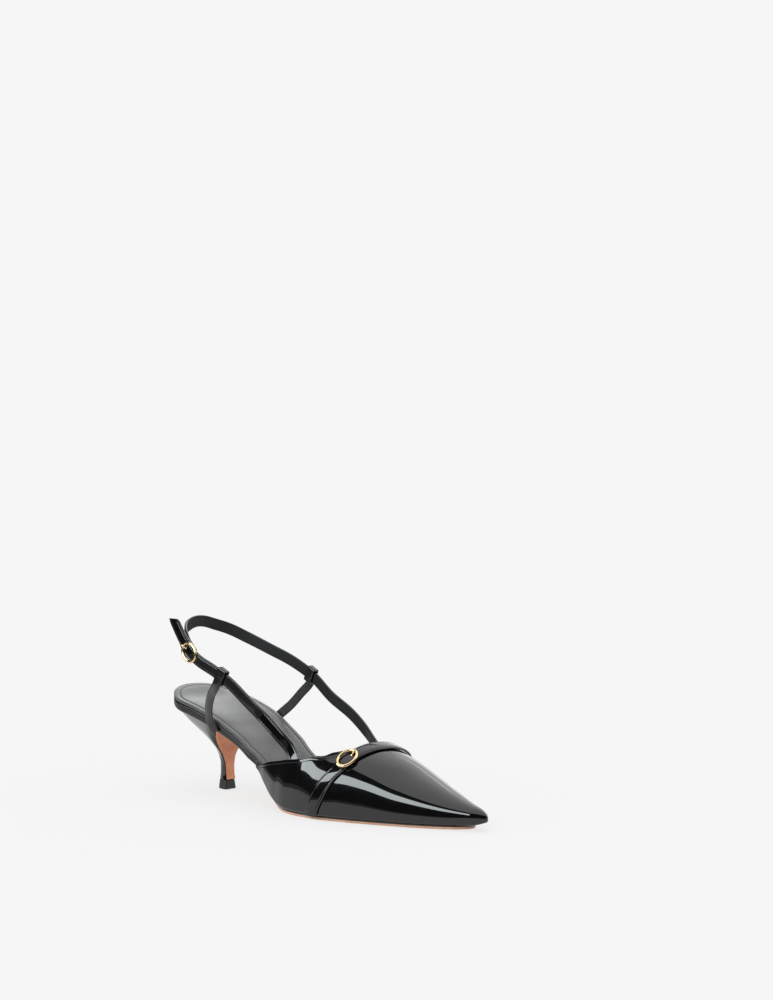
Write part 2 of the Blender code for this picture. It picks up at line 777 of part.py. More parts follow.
def strap_path(anchors, route, side):
    """Middle of a strap from inside its quarter along its route."""
    knots = [inside_point(place_x(share), SIDE_HEIGHT * height, side, inner * STRAP_THICKNESS)
             for share, height, inner in anchors]
    knots[-1] = knots[-1] + np.array((0.0, 0.0, LEAVE_RISE))
    for share, across, height in route:
        knots.append((place_x(share), across * SLING_SPREAD, height * SLING_HEIGHT))
    return curve_through(knots, STRAP_STEP)


def sling_path():
    """Middle of the sling from inside the inner quarter round the heel to its buckle."""
    return strap_path(INNER_ANCHORS, MEDIAL_ROUTE, 1)


def lateral_path():
    """Middle of the outer strap from inside the outer quarter through its buckle to its tip."""
    return strap_path(OUTER_ANCHORS, LATERAL_ROUTE, -1)


def make_straps():
    """Sling strap and the outer strap with its free tail."""
    rings = ribbon(sling_path(), STRAP_WIDTH, STRAP_THICKNESS, from_axis)
    add_mesh("sling_strap", *loft(rings), BLACK, 0.15)
    rings = ribbon(lateral_path(), STRAP_WIDTH, STRAP_THICKNESS, outer_frame, TAIL_POINT)
    add_mesh("strap_outer", *loft(rings), BLACK, 0.15)


def place_on(path, x, frame):
    """Place, tangent and outward direction of a strap where it first passes x."""
    tangents = np.gradient(path, axis=0)
    for i in range(len(path) - 1):
        if (path[i][0] - x) * (path[i + 1][0] - x) <= 0:
            share = (path[i][0] - x) / (path[i][0] - path[i + 1][0])
            place = path[i] + (path[i + 1] - path[i]) * share
            tangent = unit(tangents[i] * (1 - share) + tangents[i + 1] * share)
            return place, tangent, frame(place, tangent)
    raise ValueError("the strap doesn't pass this place")


LOOP_INNER = 0.310        # stations of the keepers
LOOP_OUTER = 0.291

# Support straps: x as a share of the way from the seat end to the loop, and the height
# as a share of the rise between them; the outward bow is a share of SUPPORT_WIDTH.
SUPPORT_OUTER = ((0.0, 0.0, 0.0), (-0.20, 0.26, 0.06), (-0.02, 0.50, 0.14), (0.42, 0.80, 0.10))
SUPPORT_INNER = ((0.0, 0.0, 0.0), (0.10, 0.17, 0.05), (0.38, 0.38, 0.14), (0.66, 0.68, 0.10))
SUPPORT_FOOT_OUTER = 0.226  # stations of the support straps' lower ends
SUPPORT_FOOT_INNER = 0.208
SUPPORT_STEP = 0.0040


def support_path(at_loop, foot_station, bends, side):
    """Middle of a support strap from the board's edge up to its loop."""
    foot_x = place_x(foot_station)
    place, tangent, out = at_loop
    down = -np.cross(tangent, out)
    down *= -math.copysign(1.0, down[2])
    end = place + out * (STRAP_THICKNESS / 2 + LOOP_CLEARANCE + LOOP_WALL / 2)
    below = end + down * (STRAP_WIDTH / 2 + LOOP_CLEARANCE + LOOP_WALL)
    edge = board_edges(foot_x)[0 if side < 0 else 1]
    foot = np.array((foot_x, edge + side * (GAP + SUPPORT_THICKNESS / 2), under_board(foot_x)))
    knots = []
    for along, up, bow in bends:
        knot = foot + (below - foot) * np.array((along, up, up))
        knot[1] += side * bow * SUPPORT_WIDTH
        if up == 0:
            knot[1] = foot[1]
        knots.append(knot)
    return curve_through(knots + [below, end], SUPPORT_STEP)


def loop_rings(place, tangent, out, grow):
    """Two rings of a keeper's tube, its outside or its hole."""
    side = np.cross(tangent, out)
    wide = STRAP_WIDTH / 2 + LOOP_CLEARANCE + grow
    deep = STRAP_THICKNESS / 2 + LOOP_CLEARANCE + grow
    rings = []
    for end in (-0.5, 0.5):
        middle = place + tangent * LOOP_LENGTH * end
        rings.append([middle + a * side * wide + b * out * deep
                      for a, b in ((-1, -1), (1, -1), (1, 1), (-1, 1))])
    return rings


def make_support(name, at_loop, foot_station, bends, side):
    """Support strap joined to the keeper that the sling runs through."""
    place, tangent, out = at_loop
    outside = loop_rings(place, tangent, out, LOOP_WALL)
    hole = loop_rings(place, tangent, out, 0.0)
    points = [point for ring in outside + hole for point in ring]
    faces = []
    for j in range(4):
        k = (j + 1) % 4
        faces.append((j, k, 4 + k, 4 + j))
        faces.append((8 + j, 12 + j, 12 + k, 8 + k))
        faces.append((j, 8 + j, 8 + k, k))
        faces.append((4 + j, 4 + k, 12 + k, 12 + j))
    keeper = add_mesh(name + "_keeper", points, faces, BLACK, 0.3)
    keeper.hide_render = True
    keeper.display_type = "WIRE"
    route = support_path(at_loop, foot_station, bends, side)
    rings = ribbon(route, SUPPORT_WIDTH, SUPPORT_THICKNESS,
                   lambda place, tangent: facing(tangent, out))
    strap = add_mesh(name, *loft(rings), BLACK, 0.3)
    union = strap.modifiers.new("keeper", "BOOLEAN")
    union.operation = "UNION"
    union.object = keeper


def wire_ring(centre, along, across, out, long, short, wire, count=28, sides=8):
    """Rings of a round wire bent to an oval."""
    rings = []
    for i in range(count):
        turn = 2 * HALF_TURN * i / count
        a, b = math.cos(turn), math.sin(turn)
        reach = along * a * (long - wire) / 2 + across * b * (short - wire) / 2
        away = unit(along * a / long + across * b / short)
        ring = []
        for j in range(sides):
            spin = 2 * HALF_TURN * j / sides
            ring.append(centre + reach + (away * math.cos(spin) + out * math.sin(spin)) * wire / 2)
        rings.append(ring)
    return rings


SKEW_WAY = (0.3, 0.5, 0.8)  # a direction that no rod runs along


def rod(path, radius, sides=6):
    """Rings of a thin rod along a path."""
    tangents = np.gradient(path, axis=0)
    rings = []
    for place, direction in zip(path, tangents):
        tangent = unit(direction)
        first = unit(np.cross(tangent, SKEW_WAY))
        second = np.cross(tangent, first)
        rings.append([place + radius * (first * math.cos(2 * HALF_TURN * j / sides)
                                        + second * math.sin(2 * HALF_TURN * j / sides))
                      for j in range(sides)])
    return rings


# Prong's middle: place along the buckle, and its lift as a share of the lift over the frame's wire.
PRONG_LINE = ((-0.50, 1.0), (-0.40, 1.0), (-0.20, 0.6), (0.10, 0.6), (0.34, 1.0), (0.50, 1.0))
PRONG_STEP = 0.0020


def make_buckle(name, centre, along, out, long, short, wire):
    """Oval buckle frame just outside its strap, and the prong that lies across it."""
    across = np.cross(out, along)
    middle = centre + out * (GAP + wire / 2)
    add_mesh(name, *loft(wire_ring(middle, along, across, out, long, short, wire), closed=True),
             GOLD, 0.25, 1.0)
    over = wire / 2 + GAP + PRONG_WIRE / 2
    knots = [middle + along * long * share + out * over * lift for share, lift in PRONG_LINE]
    add_mesh(name + "_prong", *loft(rod(curve_through(knots, PRONG_STEP), PRONG_WIRE / 2)), GOLD, 0.25, 1.0)


def make_sling_buckle():
    """Buckle of the sling, on the outer strap."""
    place, tangent, out = place_on(lateral_path(), place_x(BUCKLE_STATION), outer_frame)
    make_buckle("sling_buckle", place + out * STRAP_THICKNESS / 2, tangent, out,
                SLING_BUCKLE_LONG, SLING_BUCKLE_SHORT, SLING_BUCKLE_WIRE)


SMALL_TURN = 0.01
CROWN_SHARE = 0.3         # part of the vamp's crown that the buckle's own bend doesn't take


def make_vamp_buckle():
    """Buckle of the vamp strap, near the outer corner of the throat."""
    lift = -BAND_LIFT - BAND_THICKNESS
    angle = VAMP_BUCKLE_ANGLE * HALF_TURN
    place = upper_point(band_x(angle), angle, lift)
    along = unit(upper_point(band_x(angle + SMALL_TURN), angle + SMALL_TURN, lift) - place)
    ahead = upper_point(band_x(angle, 1.0), angle, lift) - place
    out = unit(np.cross(ahead, along))
    crown = VAMP_BUCKLE_LONG**2 / 8 / VAMP_CURVE
    make_buckle("vamp_buckle", place + out * crown * CROWN_SHARE, along, out,
                VAMP_BUCKLE_LONG, VAMP_BUCKLE_SHORT, VAMP_BUCKLE_WIRE)


def main():
    """Builds every piece of the shoe."""
    for item in list(bpy.data.objects):
        bpy.data.objects.remove(item, do_unlink=True)
    make_outsole()
    make_board()
    make_sock()
    make_heel()
    make_top_piece()
    make_breast()
    make_upper()
    make_band()
    make_straps()
    outer_loop = place_on(lateral_path(), place_x(LOOP_OUTER), outer_frame)
    inner_loop = place_on(sling_path(), place_x(LOOP_INNER), from_axis)
    make_support("support_outer", outer_loop, SUPPORT_FOOT_OUTER, SUPPORT_OUTER, -1)
    make_support("support_inner", inner_loop, SUPPORT_FOOT_INNER, SUPPORT_INNER, 1)
    make_sling_buckle()
    make_vamp_buckle()


main()
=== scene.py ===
"""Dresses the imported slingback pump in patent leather, tan sole leather and pale gold.

Metres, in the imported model's frame: the origin is the centre of the heel tip's
floor face, +X runs to the toe, +Y to the inner side of the foot and +Z up.
"""
import logging
import math
from dataclasses import dataclass
from enum import Enum
from typing import Callable, Sequence

import bmesh
import bpy
import numpy as np
from mathutils import Euler, Matrix


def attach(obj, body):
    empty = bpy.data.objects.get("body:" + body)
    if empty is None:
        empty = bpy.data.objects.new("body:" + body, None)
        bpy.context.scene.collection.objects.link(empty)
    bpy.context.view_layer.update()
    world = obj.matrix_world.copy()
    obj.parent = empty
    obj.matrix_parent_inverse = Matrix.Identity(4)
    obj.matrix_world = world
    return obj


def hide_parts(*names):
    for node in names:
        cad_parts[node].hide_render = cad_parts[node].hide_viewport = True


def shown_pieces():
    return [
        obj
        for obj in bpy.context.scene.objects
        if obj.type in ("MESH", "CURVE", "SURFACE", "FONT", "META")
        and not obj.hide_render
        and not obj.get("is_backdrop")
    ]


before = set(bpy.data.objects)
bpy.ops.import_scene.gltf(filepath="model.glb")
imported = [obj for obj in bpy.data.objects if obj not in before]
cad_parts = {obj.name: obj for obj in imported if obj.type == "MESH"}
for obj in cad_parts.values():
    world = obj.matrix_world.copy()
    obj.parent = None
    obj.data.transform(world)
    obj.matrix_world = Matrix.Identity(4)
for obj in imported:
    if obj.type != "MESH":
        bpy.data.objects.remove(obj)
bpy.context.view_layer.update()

BODY = "root"
PI = math.pi
WELD = 0.000002
SHARP_FROM = math.radians(50)
log = logging.getLogger("pump")

# Feather edge: station, width that the row follows, outer and inner edge as shares of it.
OUTLINE = (
    (0.000, "seat", 0.500, 0.500),
    (0.101, "seat", 0.500, 0.500),
    (0.212, "seat", 0.488, 0.488),
    (0.311, "waist", 0.497, 0.497),
    (0.370, "waist", 0.508, 0.504),
    (0.410, "ball", 0.402, 0.375),
    (0.461, "ball", 0.462, 0.420),
    (0.509, "ball", 0.496, 0.457),
    (0.549, "ball", 0.500, 0.481),
    (0.600, "ball", 0.497, 0.497),
    (0.667, "ball", 0.440, 0.496),
    (0.747, "ball", 0.333, 0.445),
    (0.826, "ball", 0.213, 0.381),
    (0.905, "ball", 0.074, 0.303),
    (0.956, "ball", -0.021, 0.247),
    (1.000, "ball", -0.100, 0.206),
)

# Upper's section: station, crest as a share of the vamp's height, place of the crest, exponent.
SECTIONS = (
    (0.370, 0.770, 0.500, 2.30),
    (0.440, 0.923, 0.500, 2.30),
    (0.501, 1.230, 0.500, 2.30),
    (0.556, 1.300, 0.500, 2.30),
    (0.612, 1.100, 0.500, 2.30),
    (0.640, 1.045, 0.505, 2.30),
    (0.663, 1.030, 0.510, 2.35),
    (0.727, 0.900, 0.530, 2.40),
    (0.810, 0.667, 0.570, 2.40),
    (0.905, 0.410, 0.570, 2.40),
    (0.956, 0.286, 0.550, 2.40),
    (1.000, 0.200, 0.520, 2.30),
)

# Topline of the quarters: station, outer and inner height as shares of the side's height.
TOPLINE = (
    (0.370, 0.095, 0.095),
    (0.402, 0.327, 0.290),
    (0.440, 0.600, 0.585),
    (0.501, 0.857, 0.858),
    (0.556, 0.925, 0.945),
    (0.612, 0.930, 0.950),
    (0.700, 0.930, 0.960),
)

# Board's underside: station, rise as a share of the seat's, thickness as a share of the board's.
PROFILE = (
    (0.000, 1.0220, 1.00),
    (0.027, 0.9860, 1.00),
    (0.067, 0.9240, 1.00),
    (0.127, 0.8640, 1.00),
    (0.187, 0.7870, 1.00),
    (0.231, 0.7160, 0.96),
    (0.261, 0.6560, 0.88),
    (0.301, 0.5630, 0.83),
    (0.331, 0.4740, 0.81),
    (0.367, 0.3620, 0.79),
    (0.406, 0.2290, 0.74),
    (0.446, 0.1030, 0.67),
    (0.486, 0.0240, 0.60),
    (0.526, 0.0020, 0.60),
    (0.556, 0.0000, 0.60),
    (1.000, 0.0000, 0.60),
)

# Heel: height as a share, how far half width, back and front have grown to the seat's, exponent.
HEEL = (
    (0.00, 0.000, 0.000, 0.000, 2.2),
    (0.10, -0.019, -0.019, -0.054, 2.2),
    (0.20, -0.019, -0.020, -0.072, 2.2),
    (0.32, 0.019, 0.014, -0.090, 2.3),
    (0.43, 0.103, 0.095, -0.108, 2.3),
    (0.52, 0.230, 0.167, -0.090, 2.3),
    (0.62, 0.390, 0.280, -0.027, 2.4),
    (0.76, 0.610, 0.580, 0.190, 2.5),
    (0.88, 0.798, 0.840, 0.550, 2.7),
    (1.00, 1.000, 1.000, 1.000, 2.8),
)

# Middle of the vamp strap: share of half a turn, distance in front of the throat in strap widths.
BAND = (
    (0.000, -1.020),
    (0.060, -0.600),
    (0.120, -0.240),
    (0.160, 0.000),
    (0.220, 0.370),
    (0.290, 0.550),
    (0.385, 0.660),
    (0.500, 0.580),
    (0.650, 0.290),
    (0.800, -0.570),
    (1.000, -1.560),
)

# Middle of the straps: station, share of the sling's spread, share of its height.
MEDIAL_ROUTE = (
    (0.5301, 0.4236, 0.4212),
    (0.4699, 0.4597, 0.5038),
    (0.3879, 0.4819, 0.5942),
    (0.3162, 0.5000, 0.7019),
    (0.2405, 0.5000, 0.7808),
    (0.1621, 0.4681, 0.8462),
    (0.0992, 0.4000, 0.9096),
    (0.0593, 0.2847, 0.9673),
    (0.0390, 0.1736, 0.9981),
    (0.0352, 0.0750, 1.0183),
    (0.0375, -0.0340, 1.0231),
    (0.0480, -0.1600, 1.0019),
    (0.0790, -0.2760, 0.9740),
    (0.1220, -0.3820, 0.9385),
    (0.1560, -0.4486, 0.9058),
    (0.1865, -0.4889, 0.8692),
)
LATERAL_ROUTE = (
    (0.4707, -0.3889, 0.4288),
    (0.4281, -0.4236, 0.5221),
    (0.3823, -0.4556, 0.6048),
    (0.3134, -0.4917, 0.7260),
    (0.2656, -0.5111, 0.7856),
    (0.2131, -0.5264, 0.8375),
    (0.1820, -0.5278, 0.8808),
    (0.1529, -0.5125, 0.9413),
    (0.1219, -0.4861, 1.0077),
    (0.0850, -0.4500, 1.0888),
)

# Where the straps are sewn in: station, height as a share of the side's height, and how much
# further inside they lie, in thicknesses of the strap.
INNER_ANCHORS = ((0.640, 0.540, 0.0), (0.618, 0.750, 0.40), (0.594, 0.880, 0.80))
OUTER_ANCHORS = ((0.563, 0.629, 0.0), (0.527, 0.850, 0.0), (0.499, 0.900, 0.0))

# Support straps: share of the way along, share of the rise, outward bow in strap widths.
SUPPORT_OUTER = ((0.0, 0.0, 0.0), (-0.13, 0.22, 0.06), (0.06, 0.48, 0.12), (0.48, 0.77, 0.07))
SUPPORT_INNER = ((0.0, 0.0, 0.0), (0.19, 0.17, 0.05), (0.46, 0.40, 0.11), (0.73, 0.70, 0.08))

# Soft troughs and ridges of the patent leather: station, share of half a turn, reach along,
# reach around, turn of the long way in degrees, and depth, all lengths in millimetres.
CREASES = (
    (0.566, 0.255, 9.0, 2.6, 62, -0.16),
    (0.590, 0.330, 7.0, 2.2, 50, 0.12),
    (0.545, 0.200, 10.0, 3.0, 70, 0.10),
    (0.668, 0.300, 8.0, 3.4, 35, -0.10),
    (0.668, 0.400, 9.0, 3.2, 70, 0.16),
    (0.690, 0.345, 8.0, 3.2, 60, -0.15),
    (0.712, 0.420, 10.0, 4.0, 20, -0.10),
    (0.735, 0.330, 9.0, 3.6, 40, 0.10),
    (0.702, 0.600, 12.0, 4.0, -20, -0.10),
    (0.560, 0.790, 10.0, 3.0, -60, -0.14),
    (0.590, 0.700, 9.0, 3.0, -50, 0.10),
    (0.470, 0.100, 8.0, 3.0, 80, -0.08),
)


def linear(colour: str) -> tuple[float, float, float, float]:
    """Turns an sRGB hex colour to linear RGBA.

    Args:
        colour: Colour as #RRGGBB.

    Returns:
        Linear red, green and blue, with an alpha of 1.
    """
    parts = [int(colour[i:i + 2], 16) / 255 for i in (1, 3, 5)]
    turned = [p / 12.92 if p <= 0.04045 else ((p + 0.055) / 1.055) ** 2.4 for p in parts]
    return (*turned, 1.0)


def unit(vectors: np.ndarray) -> np.ndarray:
    """Vectors of length one along the last axis."""
    return vectors / np.maximum(np.linalg.norm(vectors, axis=-1, keepdims=True), 1e-12)


def ease(share: np.ndarray | float) -> np.ndarray:
    """Smooth step from 0 to 1."""
    held = np.clip(share, 0.0, 1.0)
    return held * held * (3 - 2 * held)


def spaced(start: float, end: float, step: float) -> np.ndarray:
    """Even places from start to end, about a step apart."""
    return np.linspace(start, end, max(int(math.ceil(abs(end - start) / step)), 1) + 1)


def crowded(start: float, end: float, count: int) -> np.ndarray:
    """Places that crowd towards the end, as points round an ellipse do, end included."""
    return start + (end - start) * np.sin(PI / 2 * np.arange(count + 1) / count)


class Curve:
    """Monotone cubic through the rows of a table."""

    def __init__(self, rows: Sequence[Sequence[float]], column: int) -> None:
        """Takes the places from the first column and the values from another.

        Args:
            rows: Table of rows.
            column: Index of the column of values.
        """
        self.xs = np.array([row[0] for row in rows], dtype=float)
        self.ys = np.array([row[column] for row in rows], dtype=float)
        self.steps = np.diff(self.xs)
        slopes = np.diff(self.ys) / self.steps
        self.tangents = np.zeros(len(self.xs))
        self.tangents[0], self.tangents[-1] = slopes[0], slopes[-1]
        for i in range(1, len(self.xs) - 1):
            if slopes[i - 1] * slopes[i] > 0:
                before = 2 * self.steps[i] + self.steps[i - 1]
                after = self.steps[i] + 2 * self.steps[i - 1]
                self.tangents[i] = (before + after) / (before / slopes[i - 1] + after / slopes[i])

    def __call__(self, x: np.ndarray | float) -> np.ndarray:
        """Values at places.

        Args:
            x: Places, held inside the table's range.

        Returns:
            A value for each place.
        """
        held = np.clip(x, self.xs[0], self.xs[-1])
        i = np.clip(np.searchsorted(self.xs, held, side="right") - 1, 0, len(self.xs) - 2)
        t = (held - self.xs[i]) / self.steps[i]
        value = self.ys[i] * (2 * t**3 - 3 * t**2 + 1) + self.ys[i + 1] * (3 * t**2 - 2 * t**3)
        lean = self.tangents[i] * (t**3 - 2 * t**2 + t) + self.tangents[i + 1] * (t**3 - t**2)
        return value + self.steps[i] * lean


def ring_turns(count: int) -> np.ndarray:
    """Even angles once round."""
    return np.linspace(0, 2 * PI, count + 1)[:-1]


def powered(value: np.ndarray, exponent: np.ndarray | float) -> np.ndarray:
    """Power of a size with its sign kept."""
    return np.sign(value) * np.abs(value) ** exponent


def distances(path: np.ndarray) -> np.ndarray:
    """Distance of each point of a path from its start."""
    return np.concatenate(([0.0], np.cumsum(np.linalg.norm(np.diff(path, axis=0), axis=1))))


def curve_through(knots: np.ndarray, step: float) -> np.ndarray:
    """Smooth curve through knots.

    Args:
        knots: Points, one a row.
        step: Distance between the curve's points.

    Returns:
        Points of the curve, one a row.
    """
    spans = np.linalg.norm(np.diff(knots, axis=0), axis=1)
    at = np.concatenate(([0.0], np.cumsum(spans)))
    tangents = np.gradient(knots, at, axis=0)
    points = []
    for i, span in enumerate(spans):
        for t in np.linspace(0, 1, max(int(round(span / step)), 1) + 1)[:-1]:
            ends = (2 * t**3 - 3 * t**2 + 1) * knots[i] + (3 * t**2 - 2 * t**3) * knots[i + 1]
            leans = (t**3 - 2 * t**2 + t) * tangents[i] + (t**3 - t**2) * tangents[i + 1]
            points.append(ends + span * leans)
    points.append(knots[-1])
    return np.array(points)


def even(path: np.ndarray, step: float) -> tuple[np.ndarray, np.ndarray]:
    """Places along a path at even distances.

    Args:
        path: Points of the path.
        step: Distance wanted between places.

    Returns:
        Distances of the places, and the distance of each point of the path.
    """
    at = distances(path)
    return spaced(0.0, at[-1], step), at


def along(path: np.ndarray, at: np.ndarray, places: np.ndarray) -> np.ndarray:
    """Values of a path's rows at distances along it."""
    return np.stack([np.interp(places, at, path[:, k]) for k in range(path.shape[1])], axis=-1)


@dataclass(frozen=True)
class Last:
    """Form that the shoe is made on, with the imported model's sizes."""

    length: float = 0.2511
    seat_back: float = -0.0360
    ball_width: float = 0.0700
    waist_width: float = 0.0490
    seat_width: float = 0.0540
    seat_round: float = 0.0245
    seat_rise: float = 0.0538
    vamp_height: float = 0.0390
    side_height: float = 0.0342
    nose_length: float = 0.0080
    nose_blunt: float = 0.32
    nose_lift: float = 0.24
    gap: float = 0.0003
    wall: float = 0.0015
    side_swell: float = 0.0010
    rear_corner: float = 0.0561
    throat: float = 0.1318
    throat_corner: float = 0.0170
    throat_square: float = 2.3
    throat_slant: float = 0.0070
    slant_reach: float = 0.0450
    board_thickness: float = 0.0052
    sock_thickness: float = 0.0017
    sock_dish: float = 0.0010
    outsole_thickness: float = 0.0022
    spring_start: float = 0.1714
    toe_spring: float = 0.0012
    tuck_run: float = 0.0090
    corner_margin: float = 0.0006

    def __post_init__(self) -> None:
        """Makes a curve for each column of the tables."""
        widths = {"seat": self.seat_width, "waist": self.waist_width, "ball": self.ball_width}
        outline = [(row[0], row[2] * widths[row[1]], row[3] * widths[row[1]]) for row in OUTLINE]
        curves = {
            "outer": Curve(outline, 1),
            "inner": Curve(outline, 2),
            "crest_height": Curve(SECTIONS, 1),
            "crest_place": Curve(SECTIONS, 2),
            "square": Curve(SECTIONS, 3),
            "top_outer": Curve(TOPLINE, 1),
            "top_inner": Curve(TOPLINE, 2),
            "rise": Curve(PROFILE, 1),
            "thick": Curve(PROFILE, 2),
        }
        object.__setattr__(self, "curves", curves)

    @property
    def toe_tip(self) -> float:
        """x of the toe's tip."""
        return self.seat_back + self.length

    def station(self, x: np.ndarray | float) -> np.ndarray:
        """Share of the shoe's length at x."""
        return (np.asarray(x, dtype=float) - self.seat_back) / self.length

    def place_x(self, share: float) -> float:
        """x of a station."""
        return self.seat_back + self.length * share

    def feather(self, x: np.ndarray) -> tuple[np.ndarray, np.ndarray]:
        """Outer and inner y of the feather edge."""
        at = self.station(x)
        return -self.curves["outer"](at), self.curves["inner"](at)

    def under_board(self, x: np.ndarray) -> np.ndarray:
        """Height of the board's and the upper's lower edge.

        Args:
            x: Places along the shoe.

        Returns:
            A height for each place.
        """
        share = np.maximum((x - self.spring_start) / (self.toe_tip - self.spring_start), 0.0)
        lift = self.outsole_thickness + self.gap + self.toe_spring * share * share
        return lift + self.seat_rise * self.curves["rise"](self.station(x))

    def board_top(self, x: np.ndarray) -> np.ndarray:
        """Height of the board's upper face."""
        return self.under_board(x) + self.board_thickness * self.curves["thick"](self.station(x))

    def sock_top(self, x: np.ndarray) -> np.ndarray:
        """Height of the sock's edge."""
        return self.board_top(x) + self.gap + self.sock_thickness

    def toe_close(self, x: np.ndarray, inset: np.ndarray | float) -> np.ndarray:
        """Narrowing round the toe.

        Args:
            x: Places along the shoe.
            inset: Distance inside the outer face.

        Returns:
            A share for each place, from 1 to 0 at the tip.
        """
        length = self.nose_length - inset
        share = 1 - np.clip((self.toe_tip - inset - x) / length, 0.0, 1.0)
        return np.sqrt(np.maximum(1 - share * share, 0.0))

    def upper(self, x: np.ndarray, angle: np.ndarray, inset: np.ndarray | float = 0.0) -> np.ndarray:
        """Points of the upper's surface.

        Args:
            x: Stations in metres.
            angle: Angle round the section, 0 at the outer feather edge and pi at the inner.
            inset: Distance inside the outer face.

        Returns:
            Points, with x, y and z along the last axis.
        """
        x, angle, inset = np.broadcast_arrays(np.asarray(x, float), angle, inset)
        at = self.station(x)
        outer, inner = self.feather(x)
        square = self.curves["square"](at)
        close = self.toe_close(x, inset)
        full = self.vamp_height * self.curves["crest_height"](at)
        half = ((inner - outer) / 2 - inset) * close
        height = (full - inset) * (self.nose_blunt + (1 - self.nose_blunt) * close)
        lean = 2 * self.curves["crest_place"](at) - 1
        side = np.cos(angle)
        across = -powered(side, 2 / square)
        swell = self.side_swell * close * np.sin(2 * angle) ** 2
        y = (outer + inner) / 2 + half * (across + lean * (1 - across * across)) + across * swell
        base = self.under_board(x) + self.nose_lift * full * (1 - close)
        z = base + height * np.abs(np.sin(angle)) ** (2 / square)
        return np.stack((x, y, z), axis=-1)

    def angle_at(self, x: np.ndarray, height: np.ndarray, side: int) -> np.ndarray:
        """Angle at which a section reaches a height.

        Args:
            x: Places along the shoe.
            height: Height above the section's lower edge.
            side: -1 for the outer side, 1 for the inner.

        Returns:
            An angle for each place.
        """
        at = self.station(x)
        share = np.minimum(height / (self.vamp_height * self.curves["crest_height"](at)), 1.0)
        angle = np.arcsin(share ** (self.curves["square"](at) / 2))
        return angle if side < 0 else PI - angle

    def topline_angle(self, x: np.ndarray, side: int) -> np.ndarray:
        """Angle of the quarter's edge, which turns over the throat's corner to the crest.

        Args:
            x: Places along the shoe.
            side: -1 for the outer side, 1 for the inner.

        Returns:
            An angle for each place.
        """
        column = "top_outer" if side < 0 else "top_inner"
        angle = self.angle_at(x, self.side_height * self.curves[column](self.station(x)), side)
        share = np.clip((x - (self.throat - self.throat_corner)) / self.throat_corner, 0.0, 1.0)
        turn = 1 - (1 - share**self.throat_square) ** (1 / self.throat_square)
        return angle + (PI / 2 - angle) * turn

    def slanted(self, x: np.ndarray, angle: np.ndarray) -> np.ndarray:
        """x of a station that is slanted beside the throat."""
        fade = ease(1 - np.abs(x - self.throat) / self.slant_reach)
        return x - self.throat_slant * fade * np.cos(angle)

    def seat_narrowing(self, x: np.ndarray) -> np.ndarray:
        """Narrowing of the outline round the back of the seat."""
        share = 1 - np.clip((x - self.seat_back) / self.seat_round, 0.0, 1.0)
        return np.sqrt(np.maximum(1 - share * share, 0.0))

    def board_edges(self, x: np.ndarray, height: np.ndarray | float = 0.0) -> tuple[np.ndarray, np.ndarray]:
        """Outer and inner side of the board.

        Args:
            x: Places along the shoe.
            height: Height above the board's underside that has to clear the upper.

        Returns:
            y of the outer and of the inner side.
        """
        x = np.asarray(x, dtype=float)
        outer, inner = self.feather(x)
        fit = self.wall + self.gap
        tuck_end = self.rear_corner - self.corner_margin
        inset = ease((x - (tuck_end - self.tuck_run)) / self.tuck_run) * fit
        close = self.seat_narrowing(x)
        low, high = (outer + inset) * close, (inner - inset) * close
        wall_low = self.upper(x, self.angle_at(x, height, -1), fit)[..., 1]
        wall_high = self.upper(x, self.angle_at(x, height, 1), fit)[..., 1]
        inside = x >= self.rear_corner
        low = np.where(inside, np.maximum(low, wall_low), low)
        high = np.where(inside, np.minimum(high, wall_high), high)
        return low, high


def add_node(tree: bpy.types.NodeTree, kind: str, settings: dict | None = None,
             links: dict | None = None) -> bpy.types.Node:
    """Adds a node with its settings and links.

    Args:
        tree: Node tree that takes the node.
        kind: Blender's name of the node.
        settings: Values of its properties or, by name or number, of its inputs.
        links: Output socket for each input, by name or number.

    Returns:
        The new node.
    """
    node = tree.nodes.new(kind)
    for key, value in (settings or {}).items():
        if isinstance(key, str) and key not in node.inputs:
            setattr(node, key, value)
        else:
            node.inputs[key].default_value = value
    for key, socket in (links or {}).items():
        tree.links.new(socket, node.inputs[key])
    return node


def new_material(name: str, values: dict) -> tuple[bpy.types.Material, bpy.types.NodeTree, bpy.types.Node]:
    """Material with an empty tree and its shader.

    Args:
        name: The finish's name.
        values: Values set on the shader's own sockets.

    Returns:
        The material, its node tree and its principled shader.
    """
    made = bpy.data.materials.new(name)
    made.use_nodes = True
    tree = made.node_tree
    tree.nodes.clear()
    shader = add_node(tree, "ShaderNodeBsdfPrincipled", values)
    add_node(tree, "ShaderNodeOutputMaterial", {}, {"Surface": shader.outputs[0]})
    return made, tree, shader


# Part of a noise's values that a pattern spreads over its range, for the inputs of a Map Range node.
MIDDLE = {"From Min": 0.3, "From Max": 0.7}

# Numbers of a Mix node's sockets for colours: its two colours, and the mixed colour.
FIRST_COLOUR, SECOND_COLOUR, MIXED_COLOUR = 6, 7, 2


